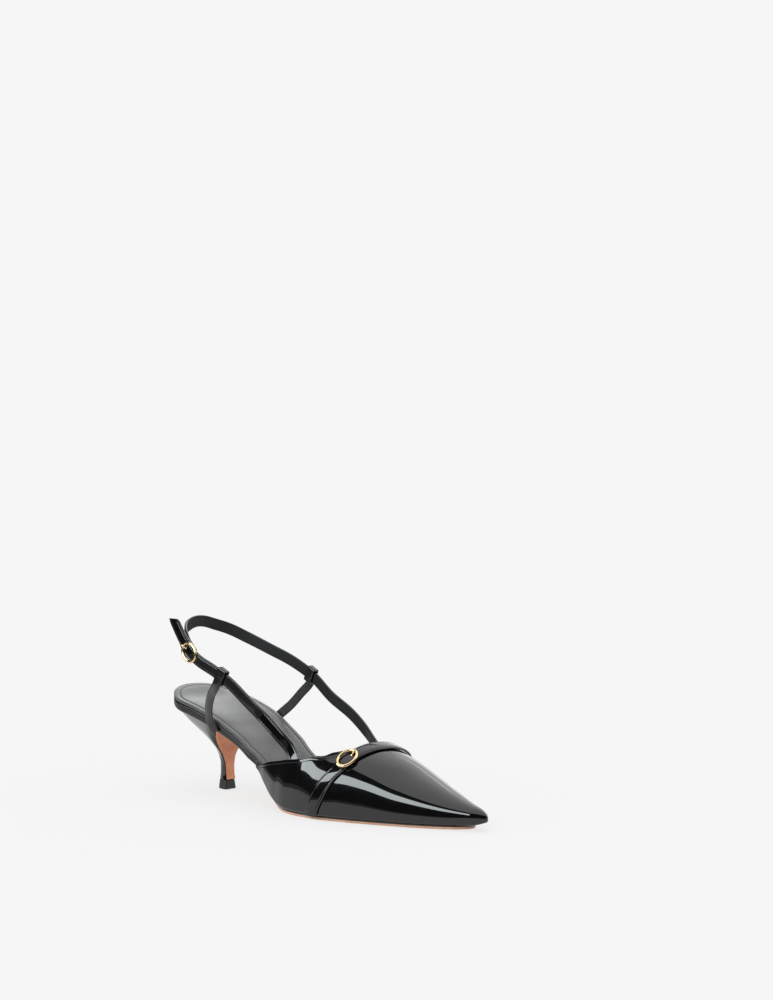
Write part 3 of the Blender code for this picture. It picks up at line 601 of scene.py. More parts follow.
@dataclass(frozen=True)
class PatentLeather:
    """Patent leather: fine leather under a cast polyurethane film.

    The film gives a deep black with near-mirror reflections. Long soft waves of the leather
    and the film's own fine peel bend them a little.
    """

    name: str = "patent_leather"
    colour: str = "#050506"
    roughness: float = 0.20
    film_roughness: float = 0.012
    film_ior: float = 1.56
    under_film: float = 0.05
    wave: float = 0.022
    wave_depth: float = 0.000045
    peel: float = 0.0016
    peel_depth: float = 0.0000006

    def build(self) -> bpy.types.Material:
        """Makes the material.

        Returns:
            The material.
        """
        made, tree, shader = new_material(self.name, {
            "Base Color": linear(self.colour),
            "IOR": 1.5,
            "Specular IOR Level": self.under_film,
            "Coat Weight": 1.0,
            "Coat IOR": self.film_ior,
            "Coat Roughness": self.film_roughness,
        })
        place = {"Vector": add_node(tree, "ShaderNodeTexCoord").outputs["Object"]}
        patches = add_node(tree, "ShaderNodeTexNoise", {"Scale": 3 / self.wave, "Detail": 2.0}, place)
        rough = add_node(tree, "ShaderNodeMapRange",
                         {**MIDDLE, "To Min": self.roughness * 0.6, "To Max": self.roughness * 1.3},
                         {"Value": patches.outputs[0]})
        long_waves = add_node(tree, "ShaderNodeTexNoise", {"Scale": 1 / self.wave, "Detail": 1.0}, place)
        waves = add_node(tree, "ShaderNodeBump", {"Distance": self.wave_depth},
                         {"Height": long_waves.outputs[0]})
        fine_peel = add_node(tree, "ShaderNodeTexNoise", {"Scale": 1 / self.peel, "Detail": 1.0}, place)
        relief = add_node(tree, "ShaderNodeBump", {"Distance": self.peel_depth},
                          {"Height": fine_peel.outputs[0], "Normal": waves.outputs[0]})
        tree.links.new(rough.outputs[0], shader.inputs["Roughness"])
        tree.links.new(relief.outputs[0], shader.inputs["Normal"])
        tree.links.new(relief.outputs[0], shader.inputs["Coat Normal"])
        return made


@dataclass(frozen=True)
class DressedLeather:
    """Smooth dyed leather with a finish of acrylic and wax.

    It has a soft sheen that follows the form, and a fine irregular grain that only shows near to.
    The grain's cells are drawn about twice as wide as the real 0.3 mm, so that they show.
    """

    name: str
    colour: str
    light_colour: str
    roughness: float
    grain: float = 0.0006
    grain_depth: float = 0.00002
    coat: float = 0.0
    sheen: float = 0.0
    specular: float = 0.5
    mottle: float = 0.009
    rubbed: float = 0.004
    softness: float = 0.006
    soft_depth: float = 0.00005

    def build(self) -> bpy.types.Material:
        """Makes the material.

        Returns:
            The material.
        """
        made, tree, shader = new_material(self.name, {
            "IOR": 1.48,
            "Specular IOR Level": self.specular,
            "Coat Weight": self.coat,
            "Coat Roughness": 0.16,
            "Sheen Weight": self.sheen,
            "Sheen Roughness": 0.5,
        })
        place = {"Vector": add_node(tree, "ShaderNodeTexCoord").outputs["Object"]}
        mottle = add_node(tree, "ShaderNodeTexNoise", {"Scale": 1 / self.mottle, "Detail": 4.0}, place)
        colours = {FIRST_COLOUR: linear(self.colour), SECOND_COLOUR: linear(self.light_colour)}
        mix = add_node(tree, "ShaderNodeMix", {"data_type": "RGBA", **colours}, {0: mottle.outputs[0]})
        rubbed = add_node(tree, "ShaderNodeTexNoise", {"Scale": 1 / self.rubbed, "Detail": 3.0}, place)
        rough = add_node(tree, "ShaderNodeMapRange",
                         {**MIDDLE, "To Min": self.roughness * 0.85, "To Max": self.roughness * 1.15},
                         {"Value": rubbed.outputs[0]})
        cells = add_node(tree, "ShaderNodeTexVoronoi",
                         {"feature": "DISTANCE_TO_EDGE", "Scale": 1 / self.grain, "Randomness": 0.9}, place)
        grain = add_node(tree, "ShaderNodeMapRange", {"From Max": 0.12}, {"Value": cells.outputs[0]})
        fine = add_node(tree, "ShaderNodeBump", {"Distance": self.grain_depth}, {"Height": grain.outputs[0]})
        rolls = add_node(tree, "ShaderNodeTexNoise", {"Scale": 1 / self.softness, "Detail": 2.0}, place)
        soft = add_node(tree, "ShaderNodeBump", {"Distance": self.soft_depth},
                        {"Height": rolls.outputs[0], "Normal": fine.outputs[0]})
        tree.links.new(mix.outputs[MIXED_COLOUR], shader.inputs["Base Color"])
        tree.links.new(rough.outputs[0], shader.inputs["Roughness"])
        tree.links.new(soft.outputs[0], shader.inputs["Normal"])
        return made


@dataclass(frozen=True)
class SoleLeather:
    """Vegetable-tanned sole leather, waxed and brushed.

    It is warm tan with long faint fibres, a little darker where it was burnished.
    """

    name: str
    colour: str
    dark_colour: str
    roughness: float = 0.42
    mottle: float = 0.006
    fibre: float = 0.0011
    fibre_stretch: float = 5.0
    fibre_depth: float = 0.000025

    def build(self) -> bpy.types.Material:
        """Makes the material.

        Returns:
            The material.
        """
        made, tree, shader = new_material(self.name, {"IOR": 1.48})
        place = {"Vector": add_node(tree, "ShaderNodeTexCoord").outputs["Object"]}
        mottle = add_node(tree, "ShaderNodeTexNoise", {"Scale": 1 / self.mottle, "Detail": 5.0}, place)
        stretched = add_node(tree, "ShaderNodeMapping", {"Scale": (1 / self.fibre_stretch, 1.0, 1.0)}, place)
        fibres = add_node(tree, "ShaderNodeTexNoise", {"Scale": 1 / self.fibre, "Detail": 3.0},
                          {"Vector": stretched.outputs[0]})
        stain = add_node(tree, "ShaderNodeMath", {"operation": "MULTIPLY_ADD", 1: 0.45},
                         {0: fibres.outputs[0], 2: mottle.outputs[0]})
        factor = add_node(tree, "ShaderNodeMapRange", {"From Min": 0.45, "From Max": 0.95},
                          {"Value": stain.outputs[0]})
        colours = {FIRST_COLOUR: linear(self.dark_colour), SECOND_COLOUR: linear(self.colour)}
        mix = add_node(tree, "ShaderNodeMix", {"data_type": "RGBA", **colours}, {0: factor.outputs[0]})
        rough = add_node(tree, "ShaderNodeMapRange",
                         {**MIDDLE, "To Min": self.roughness * 0.8, "To Max": self.roughness * 1.2},
                         {"Value": mottle.outputs[0]})
        relief = add_node(tree, "ShaderNodeBump", {"Distance": self.fibre_depth},
                          {"Height": fibres.outputs[0]})
        tree.links.new(mix.outputs[MIXED_COLOUR], shader.inputs["Base Color"])
        tree.links.new(rough.outputs[0], shader.inputs["Roughness"])
        tree.links.new(relief.outputs[0], shader.inputs["Normal"])
        return made


@dataclass(frozen=True)
class Speckled:
    """Hard finish of one colour with a fine irregular gloss and relief."""

    name: str
    colour: str
    roughness: float
    metallic: float
    gloss_patch: float
    gloss_range: tuple[float, float]
    speck: float
    speck_depth: float

    def build(self) -> bpy.types.Material:
        """Makes the material.

        Returns:
            The material.
        """
        made, tree, shader = new_material(self.name, {
            "Base Color": linear(self.colour),
            "Metallic": self.metallic,
        })
        place = {"Vector": add_node(tree, "ShaderNodeTexCoord").outputs["Object"]}
        low, high = self.gloss_range
        patches = add_node(tree, "ShaderNodeTexNoise", {"Scale": 1 / self.gloss_patch, "Detail": 3.0}, place)
        rough = add_node(tree, "ShaderNodeMapRange",
                         {**MIDDLE, "To Min": self.roughness * low, "To Max": self.roughness * high},
                         {"Value": patches.outputs[0]})
        specks = add_node(tree, "ShaderNodeTexNoise", {"Scale": 1 / self.speck, "Detail": 2.0}, place)
        relief = add_node(tree, "ShaderNodeBump", {"Distance": self.speck_depth},
                          {"Height": specks.outputs[0]})
        tree.links.new(rough.outputs[0], shader.inputs["Roughness"])
        tree.links.new(relief.outputs[0], shader.inputs["Normal"])
        return made


@dataclass(frozen=True)
class GoldPlate(Speckled):
    """Zinc casting, tumbled and plated with pale gold.

    It mirrors sharply, with soft hairlines from the tumbling.
    """

    name: str = "pale_gold_plate"
    colour: str = "#F0D6A4"
    roughness: float = 0.14
    metallic: float = 1.0
    gloss_patch: float = 0.0008
    gloss_range: tuple[float, float] = (0.7, 1.5)
    speck: float = 0.0012
    speck_depth: float = 0.000012


@dataclass(frozen=True)
class HardRubber(Speckled):
    """Moulded polyurethane of the heel tip, matt with a fine speckle from the mould."""

    name: str = "hard_rubber"
    colour: str = "#1C1A1A"
    roughness: float = 0.55
    metallic: float = 0.0
    gloss_patch: float = 0.001
    gloss_range: tuple[float, float] = (0.85, 1.15)
    speck: float = 0.0005
    speck_depth: float = 0.00002


@dataclass(frozen=True)
class PolyesterThread:
    """Bonded polyester thread, twisted from three strands, with a dull shine."""

    colour: str = "#232324"
    twist: float = 0.0004
    twist_depth: float = 0.00005

    def build(self) -> bpy.types.Material:
        """Makes the material.

        Returns:
            The material.
        """
        made, tree, shader = new_material("polyester_thread", {
            "Base Color": linear(self.colour),
            "Roughness": 0.6,
        })
        place = {"Vector": add_node(tree, "ShaderNodeTexCoord").outputs["Object"]}
        scale = 1 / self.twist / (2 * PI)
        strands = add_node(tree, "ShaderNodeTexWave", {"Scale": scale, "Distortion": 0.5}, place)
        relief = add_node(tree, "ShaderNodeBump", {"Distance": self.twist_depth},
                          {"Height": strands.outputs["Fac"]})
        tree.links.new(relief.outputs[0], shader.inputs["Normal"])
        return made


@dataclass(frozen=True)
class PaperFloor:
    """Matt seamless paper, lit from below as on a light table, so that shadows stay faint.

    Glossy faces mirror the paper only as far as its glow reaches round the shoe. Beyond that they
    see it dark, as they see the rest of the studio.
    """

    colour: str = "#F6F6F6"
    glow: float = 0.80
    far_glow: float = 0.04
    mirrored_reach: float = 0.42

    def build(self) -> bpy.types.Material:
        """Makes the material.

        Returns:
            The material.
        """
        paper = linear(self.colour)
        made, tree, shader = new_material("seamless_paper", {
            "Base Color": (*((1 - self.glow) * c for c in paper[:3]), 1.0),
            "Emission Color": paper,
            "Roughness": 1.0,
            "Specular IOR Level": 0.0,
        })
        place = add_node(tree, "ShaderNodeTexCoord")
        apart = add_node(tree, "ShaderNodeVectorMath", {"operation": "LENGTH"}, {0: place.outputs["Object"]})
        fade = add_node(tree, "ShaderNodeMapRange",
                        {"From Min": self.mirrored_reach * 0.7, "From Max": self.mirrored_reach,
                         "To Min": self.glow, "To Max": self.far_glow},
                        {"Value": apart.outputs["Value"]})
        rays = add_node(tree, "ShaderNodeLightPath")
        shown = add_node(tree, "ShaderNodeMapRange", {"To Min": self.glow},
                         {"Value": rays.outputs["Is Glossy Ray"], "To Max": fade.outputs[0]})
        tree.links.new(shown.outputs[0], shader.inputs["Emission Strength"])
        return made


class Finish(Enum):
    """Finishes of the shoe, by the material that each is."""

    PATENT = PatentLeather()
    STRAP = PatentLeather("strap_patent", film_roughness=0.03, wave=0.012, wave_depth=0.00003)
    COVER = DressedLeather("cover_leather", "#0D0D0E", "#161617", 0.30, coat=0.35)
    SOCK = DressedLeather("sock_leather", "#1C1C1D", "#262627", 0.33, grain_depth=0.000002, sheen=0.35)
    LINING = DressedLeather("lining_leather", "#171718", "#212122", 0.50, grain_depth=0.000004, specular=0.3)
    SOLE = SoleLeather("sole_leather", "#B58C75", "#98725D")
    # Breast: partly the leather's own warm tan, partly painted light. Both colours are lightened to stand in
    # for light that the shade under the arch takes away.
    BREAST = SoleLeather("breast_leather", "#C9855F", "#AD6B49")
    GOLD = GoldPlate()
    RUBBER = HardRubber()
    THREAD = PolyesterThread()


class Wardrobe:
    """Makes each finish once."""

    def __init__(self) -> None:
        """Starts with no finish made."""
        self.made: dict[Finish, bpy.types.Material] = {}

    def __call__(self, finish: Finish) -> bpy.types.Material:
        """The material of a finish.

        Args:
            finish: The finish.

        Returns:
            Its material, made at the first call.
        """
        if finish not in self.made:
            self.made[finish] = finish.value.build()
        return self.made[finish]


class Shell:
    """Collects grids of points as one mesh."""

    def __init__(self) -> None:
        """Starts empty."""
        self.points: list[np.ndarray] = []
        self.faces: list[tuple[int, ...]] = []
        self.slots: list[int] = []
        self.count = 0

    def grid(self, points: np.ndarray, slot: int | np.ndarray = 0, closed: bool = False,
             looped: bool = False) -> None:
        """Adds a grid of quads.

        Args:
            points: Points by row and column.
            slot: Number of the material, or one for each column or each point.
            closed: Whether the last column meets the first.
            looped: Whether the last row meets the first.
        """
        rows, columns = points.shape[:2]
        numbers = np.broadcast_to(slot, (rows, columns))
        start = self.count
        self.points.append(points.reshape(-1, 3))
        self.count += rows * columns
        for i in range(rows if looped else rows - 1):
            below = (i + 1) % rows
            for j in range(columns if closed else columns - 1):
                right = (j + 1) % columns
                corners = (i * columns + j, i * columns + right, below * columns + right, below * columns + j)
                self.faces.append(tuple(start + corner for corner in corners))
                self.slots.append(int(numbers[i, j]))

    def cap(self, ring: np.ndarray, slot: int = 0) -> None:
        """Closes a ring with a fan round its middle.

        Args:
            ring: Points of the ring.
            slot: Number of the material.
        """
        start = self.count
        self.points.append(np.vstack((ring, ring.mean(axis=0))))
        self.count += len(ring) + 1
        for j in range(len(ring)):
            self.faces.append((start + j, start + (j + 1) % len(ring), start + len(ring)))
            self.slots.append(slot)

    def tube(self, rings: np.ndarray, slot: int | np.ndarray = 0) -> None:
        """Adds closed rings in a row, with a cap at each end.

        Args:
            rings: Points by ring and place round it.
            slot: Number of the material, or one for each place.
        """
        self.grid(rings, slot, closed=True)
        self.cap(rings[0])
        self.cap(rings[-1])

    def make(self, name: str, finishes: Sequence[bpy.types.Material],
             replaces: Sequence[str] = ()) -> bpy.types.Object:
        """Makes the object.

        Args:
            name: Name of the piece.
            finishes: Materials in the order of the grids' numbers.
            replaces: CAD nodes that the piece stands for.

        Returns:
            The object, riding on the body.
        """
        mesh = bpy.data.meshes.new(name)
        mesh.from_pydata(np.vstack(self.points).tolist(), [], self.faces)
        for finish in finishes:
            mesh.materials.append(finish)
        mesh.polygons.foreach_set("material_index", self.slots)
        shape = bmesh.new()
        shape.from_mesh(mesh)
        bmesh.ops.remove_doubles(shape, verts=shape.verts, dist=WELD)
        bmesh.ops.dissolve_degenerate(shape, edges=shape.edges, dist=WELD)
        bmesh.ops.recalc_face_normals(shape, faces=shape.faces)
        shape.to_mesh(mesh)
        shape.free()
        mesh.shade_smooth()
        mesh.set_sharp_from_angle(angle=SHARP_FROM)
        made = bpy.data.objects.new(name, mesh)
        bpy.context.scene.collection.objects.link(made)
        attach(made, BODY)
        if replaces:
            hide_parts(*replaces)
        log.info("%s: %d faces", name, len(mesh.polygons))
        return made


@dataclass(frozen=True)
class StitchRow:
    """Sizes of a row of stitches: from stitch to stitch, a stitch's length, and the thread's radius."""

    pitch: float = 0.0021
    length: float = 0.0016
    radius: float = 0.00022
    end_swell: float = 0.12
    lift: float = 1.1
    sink: float = 0.75
    sides: int = 6

    def add(self, shell: Shell, path: np.ndarray, normals: np.ndarray) -> None:
        """Adds the row.

        Args:
            shell: Shell that takes the stitches.
            path: Line of the row on the surface.
            normals: Way out of the surface at the path's points.
        """
        at = distances(path)
        middles = np.arange(self.pitch / 2, at[-1], self.pitch)
        if len(middles) == 0:
            return
        out = unit(along(normals, at, middles))
        ends = [along(path, at, np.clip(middles + s * self.length / 2, 0, at[-1])) for s in (-1, 1)]
        turns = ring_turns(self.sides)
        for a, b, n in zip(ends[0], ends[1], out):
            way = b - a
            side = unit(np.cross(way, n))
            rings = []
            for share in (0.0, 0.12, 0.35, 0.65, 0.88, 1.0):
                swell = math.sin(PI * (self.end_swell + (1 - 2 * self.end_swell) * share)) ** 0.5
                middle = a + way * share + n * self.radius * (swell * self.lift - self.sink)
                reach = self.radius * swell
                rings.append([middle + reach * (side * math.cos(t) + n * math.sin(t)) for t in turns])
            shell.grid(np.array(rings), closed=True)


# Width of a strap's sewn channel, and the points over a strap's face, round each edge and over its back.
CHANNEL_WIDTH = 0.0003
FACE_POINTS = 41
EDGE_POINTS = 7
BACK_POINTS = 15


def rounded_section(width: float, thickness: float, radius: float, crown: float = 0.0,
                    groove: float = 0.0, groove_depth: float = 0.0) -> np.ndarray:
    """Section of a strap, as (across, out) pairs round it.

    Args:
        width: Full width.
        thickness: Full thickness.
        radius: Radius of its edges.
        crown: Rise of the outer face's middle.
        groove: Distance of the sewn channels from the edges.
        groove_depth: Depth of the channels.

    Returns:
        Points of the section, two numbers each.
    """
    half, thick = width / 2, thickness / 2
    flat = half - radius
    across = np.linspace(-flat, flat, FACE_POINTS)
    rise = crown * (1 - (across / half) ** 2)
    for side in (-1, 1):
        rise -= groove_depth * np.exp(-(((across - side * (half - groove)) / CHANNEL_WIDTH) ** 2))
    face = np.stack((across, thick + rise), axis=-1)
    turns = np.linspace(PI / 2, -PI / 2, EDGE_POINTS + 2)[1:-1]
    edge = np.stack((flat + radius * np.cos(turns), thick * np.sin(turns)), axis=-1)
    back = np.stack((np.linspace(flat, -flat, BACK_POINTS), np.full(BACK_POINTS, -thick)), axis=-1)
    other = np.stack((-edge[::-1, 0], edge[::-1, 1]), axis=-1)
    return np.vstack((face, edge, back, other))


def sweep(path: np.ndarray, outs: np.ndarray, section: np.ndarray, narrow: np.ndarray | None = None,
          slant: float = 0.0, slant_reach: float = 0.012) -> np.ndarray:
    """Rings of a section along a path.

    Args:
        path: Points of the middle.
        outs: Way out at each point.
        section: Points of the section, across and out.
        narrow: Share of the width at each point.
        slant: How much shorter one edge is than the other, for an end cut aslant.
        slant_reach: Length over which the rings are drawn back for that.

    Returns:
        Grid of points.
    """
    tangents = unit(np.gradient(path, axis=0))
    outs = unit(outs - np.sum(outs * tangents, axis=1, keepdims=True) * tangents)
    sides = np.cross(tangents, outs)
    width = np.ones(len(path)) if narrow is None else narrow
    at = distances(path)
    fade = ease((at - (at[-1] - slant_reach)) / slant_reach)
    half = np.abs(section[:, 0]).max()
    columns = []
    for across, out in section:
        places = at - slant * (across / half + 1) / 2 * fade
        frame_at = [along(rows, at, places) for rows in (path, sides, outs)]
        columns.append(frame_at[0] + frame_at[1] * (across * width)[:, None] + frame_at[2] * out)
    return np.stack(columns, axis=1)


def facing(section: np.ndarray, thickness: float) -> np.ndarray:
    """Material number of each column of a strap: 0 on its face and edges, 1 on its flat back."""
    return np.where(section[:, 1] < -0.49 * thickness, 1, 0)


@dataclass(frozen=True)
class Upper:
    """Vamp and quarters in one, with a folded topline, a lining and the lasted edge.

    The rows are closest at the topline, at the lasted edge, round the throat and at the toe.
    """

    last: Last
    edge_radius: float = 0.00055
    bead: float = 0.00006
    bead_width: float = 0.0016
    stitch_inset: float = 0.0023
    groove_depth: float = 0.00006
    tuck: float = 0.0015
    tuck_left: float = 0.00005
    toe_turn: float = 0.0140
    toe_columns: int = 9
    crease_radius: float = 0.034
    groove_shift: float = 0.0007
    groove_width: float = 0.00035
    front_fade: float = 0.006
    back_fade: float = 0.008
    probe: float = 0.0005
    stitch_margin: float = 0.004
    seam_step: float = 0.0008
    columns: int = 74
    line_points: int = 240
    top_rows: int = 14
    top_step: float = 0.00030
    low_rows: int = 8
    low_step: float = 0.00022
    full_reach: float = 0.008
    back_step: float = 0.0009
    front_step: float = 0.0010
    throat_rows: int = 44
    nose_rows: int = 22

    def stations(self) -> tuple[np.ndarray, np.ndarray]:
        """Rows of the mesh along the shoe.

        Returns:
            Places of the quarters up to the throat, and in front of it to the tip.
        """
        last = self.last
        corner = last.throat - last.throat_corner
        quarters = spaced(last.rear_corner, corner, self.back_step)[:-1]
        back = np.concatenate((quarters, crowded(corner, last.throat, self.throat_rows)))
        front = spaced(last.throat, last.toe_tip - last.nose_length, self.front_step)
        nose = crowded(last.toe_tip - last.nose_length, last.toe_tip, self.nose_rows)
        return back, np.concatenate((front[:-1], nose))

    def creases(self, x: np.ndarray, angle: np.ndarray) -> np.ndarray:
        """Height of the soft troughs and ridges.

        Args:
            x: Places along the shoe.
            angle: Angles round the section.

        Returns:
            Rise of the leather in metres.
        """
        last = self.last
        rise = np.zeros(np.broadcast(x, angle).shape)
        for station, share, reach, wide, turn, depth in CREASES:
            ahead = (x - last.place_x(station)) * 1000
            around = (angle - share * PI) * self.crease_radius * 1000
            c, s = math.cos(math.radians(turn)), math.sin(math.radians(turn))
            lengthwise, across = ahead * c + around * s, -ahead * s + around * c
            rise += depth / 1000 * np.exp(-((lengthwise / reach) ** 2) - (across / wide) ** 2)
        return rise

    def skin(self, x: float, side: int, inset: float,
             outside: bool) -> tuple[np.ndarray, np.ndarray, np.ndarray]:
        """One row of the skin from the feather edge to the topline or crest.

        Args:
            x: Station.
            side: -1 for the outer side, 1 for the inner.
            inset: Distance inside the outer face.
            outside: Whether it is the outer face.

        Returns:
            Points, their angles, and their distances from the topline.
        """
        last = self.last
        foot = 0.0 if side < 0 else PI
        open_top = x < last.throat - 1e-9
        end = float(last.topline_angle(np.array(x), side)) if open_top else PI / 2
        angles = np.linspace(foot, end, self.line_points)
        line = last.upper(last.slanted(x, angles), angles, inset)
        at = distances(line)
        length = at[-1]
        trim = min(self.edge_radius, length / 4) if open_top else 0.0
        near = min(1.0, length / self.full_reach)
        fine = np.arange(self.top_rows) * self.top_step * near
        low = np.arange(1, self.low_rows + 1)[::-1] * self.low_step * near
        rest = np.linspace(fine[-1], length - trim - low[0], self.columns - len(fine) - len(low) + 1)[1:]
        drop = np.concatenate((fine, rest, length - trim - low[1:], [length - trim]))
        places = length - trim - drop
        chosen = np.interp(places, at, angles)
        own = np.full(len(chosen), inset)
        if outside:
            height = np.interp(places, at, line[:, 2]) - line[0, 2]
            share = np.clip(1 - height / self.tuck, 0.0, 1.0)
            own = own + (self.tuck - self.tuck_left) * (1 - np.sqrt(1 - share * share))
        points = last.upper(last.slanted(x, chosen), chosen, own)
        return points, chosen, drop

    def way_out(self, x: float, angle: np.ndarray) -> np.ndarray:
        """Short step from inside the wall to its outer face."""
        at = self.last.slanted(x, angle)
        return self.last.upper(at, angle, 0.0) - self.last.upper(at, angle, self.probe)

    def outer_face(self, x: float, side: int) -> np.ndarray:
        """One row of the outer face, with its bead, groove and creases.

        Args:
            x: Station.
            side: -1 for the outer side, 1 for the inner.

        Returns:
            Points of the row.
        """
        last = self.last
        points, angles, drop = self.skin(x, side, 0.0, True)
        fade = float(1 - ease((x - (last.throat - self.front_fade)) / self.front_fade))
        fade *= float(ease((x - last.rear_corner) / self.back_fade))
        groove = (drop - self.stitch_inset + self.groove_shift) / self.groove_width
        rise = self.bead * np.exp(-((drop / self.bead_width) ** 4)) * fade
        rise = rise - self.groove_depth * np.exp(-(groove**2)) * fade
        rise = rise + self.creases(last.slanted(x, angles), angles)
        return points + unit(self.way_out(x, angles)) * rise[:, None]

    def rim(self, face: np.ndarray, lining: np.ndarray) -> np.ndarray:
        """Points over the folded edge.

        Args:
            face: Row of the outer face, from the edge down.
            lining: Row of the lining, from the edge down.

        Returns:
            Points from the outer face to the lining.
        """
        middle = (face[0] + lining[0]) / 2
        across = (face[0] - lining[0]) / 2
        upward = unit(face[0] - face[2])
        turns = np.linspace(0, PI, 11)[:, None]
        return middle + across * np.cos(turns) + upward * self.edge_radius * np.sin(turns)

    def build(self, wardrobe: Wardrobe) -> None:
        """Makes the patent and lining, and the stitches below the topline.

        Args:
            wardrobe: Makes the finishes.
        """
        back, front = self.stations()
        shell = Shell()
        feet = []
        for side in (-1, 1):
            stations = np.concatenate((back, front[1:]))
            faces = np.array([self.outer_face(x, side) for x in stations])
            inner_tip = self.last.toe_tip - self.last.wall
            held = np.minimum(stations, inner_tip)
            linings = np.array([self.skin(x, side, self.last.wall, False)[0] for x in held])
            shell.grid(faces, 0)
            shell.grid(linings, 1)
            rims = np.array([self.rim(faces[i], linings[i]) for i in range(len(back))])
            shell.grid(rims, 0)
            shell.grid(np.stack((faces[0], linings[0]), axis=0), 0)
            feet.append(faces[stations > self.last.toe_tip - self.toe_turn, -1])
        shares = np.linspace(0, 1, self.toe_columns)[None, :, None]
        shell.grid(feet[0][:, None] * (1 - shares) + feet[1][:, None] * shares, 0)
        shell.make("upper_patent", [wardrobe(Finish.PATENT), wardrobe(Finish.LINING)], ["upper"])
        self.stitch(wardrobe)

    def stitch(self, wardrobe: Wardrobe) -> None:
        """Sews the row below the topline.

        Args:
            wardrobe: Makes the finishes.
        """
        last = self.last
        shell = Shell()
        for side in (-1, 1):
            path, normals = [], []
            start, stop = last.rear_corner + self.stitch_margin, last.throat - self.stitch_margin
            for x in spaced(start, stop, self.seam_step):
                end = float(last.topline_angle(np.array(x), side))
                foot = 0.0 if side < 0 else PI
                angles = np.linspace(end, foot, 120)
                line = last.upper(last.slanted(x, angles), angles, 0.0)
                at = distances(line)
                angle = np.interp(self.stitch_inset, at, angles)
                path.append(last.upper(last.slanted(x, angle), angle, 0.0))
                normals.append(self.way_out(x, angle))
            StitchRow().add(shell, np.array(path), np.array(normals))
        shell.make("topline_stitches", [wardrobe(Finish.THREAD)])


@dataclass(frozen=True)
class VampStrap:
    """Strap over the vamp, with turned edges and two sewn lines."""

    last: Last
    width: float = 0.0086
    thickness: float = 0.0012
    lift: float = 0.0005
    groove_inset: float = 0.0012
    groove_depth: float = 0.00014
    edge_radius: float = 0.0005
    crown: float = 0.00015
    rows: int = 260
    unsewn_rows: int = 4
    thread_radius: float = 0.00016
    buckle_angle: float = 0.290
    small_turn: float = 0.01

    def place(self, angle: np.ndarray, share: np.ndarray, height: np.ndarray) -> np.ndarray:
        """Points over the vamp.

        Args:
            angle: Angles round the section.
            share: Place across the strap, -1 at its back edge and 1 at its front.
            height: Height above the upper's face.

        Returns:
            Points.
        """
        ahead = Curve(BAND, 1)(np.asarray(angle) / PI) + 0.5 * share
        x = self.last.slanted(self.last.throat, angle) + ahead * self.width
        return self.last.upper(x, angle, -np.asarray(height))

    def build(self, wardrobe: Wardrobe) -> None:
        """Makes the strap and its stitches.

        Args:
            wardrobe: Makes the finishes.
        """
        angles = np.linspace(0.0, PI, self.rows)
        section = rounded_section(self.width, self.thickness, self.edge_radius, self.crown, self.groove_inset,
                                  self.groove_depth)
        shares = section[:, 0] / (self.width / 2)
        heights = self.lift + self.thickness / 2 + section[:, 1]
        grid = self.place(angles[:, None], shares[None, :], heights[None, :])
        shell = Shell()
        shell.tube(grid)
        shell.make("vamp_strap_patent", [wardrobe(Finish.PATENT)], ["vamp_strap"])
        threads = Shell()
        line = 1 - self.groove_inset / (self.width / 2)
        sewn = angles[self.unsewn_rows:-self.unsewn_rows]
        for side in (-1, 1):
            shares = np.full(len(sewn), side * line)
            top = self.place(sewn, shares, np.full(len(sewn), self.lift + self.thickness))
            low = self.place(sewn, shares, np.full(len(sewn), self.lift))
            StitchRow(radius=self.thread_radius).add(threads, top, top - low)
        threads.make("vamp_strap_stitches", [wardrobe(Finish.THREAD)])

    def buckle_frame(self) -> tuple[np.ndarray, np.ndarray, np.ndarray]:
        """Place of the strap's buckle.

        Returns:
            Its middle, its long way and its way out.
        """
        angle = self.buckle_angle * PI
        height = self.lift + self.thickness
        middle = self.place(angle, 0.0, height)
        long_way = unit(self.place(angle + self.small_turn, 0.0, height) - middle)
        ahead = self.place(angle, 1.0, height) - middle
        return middle, long_way, unit(np.cross(ahead, long_way))


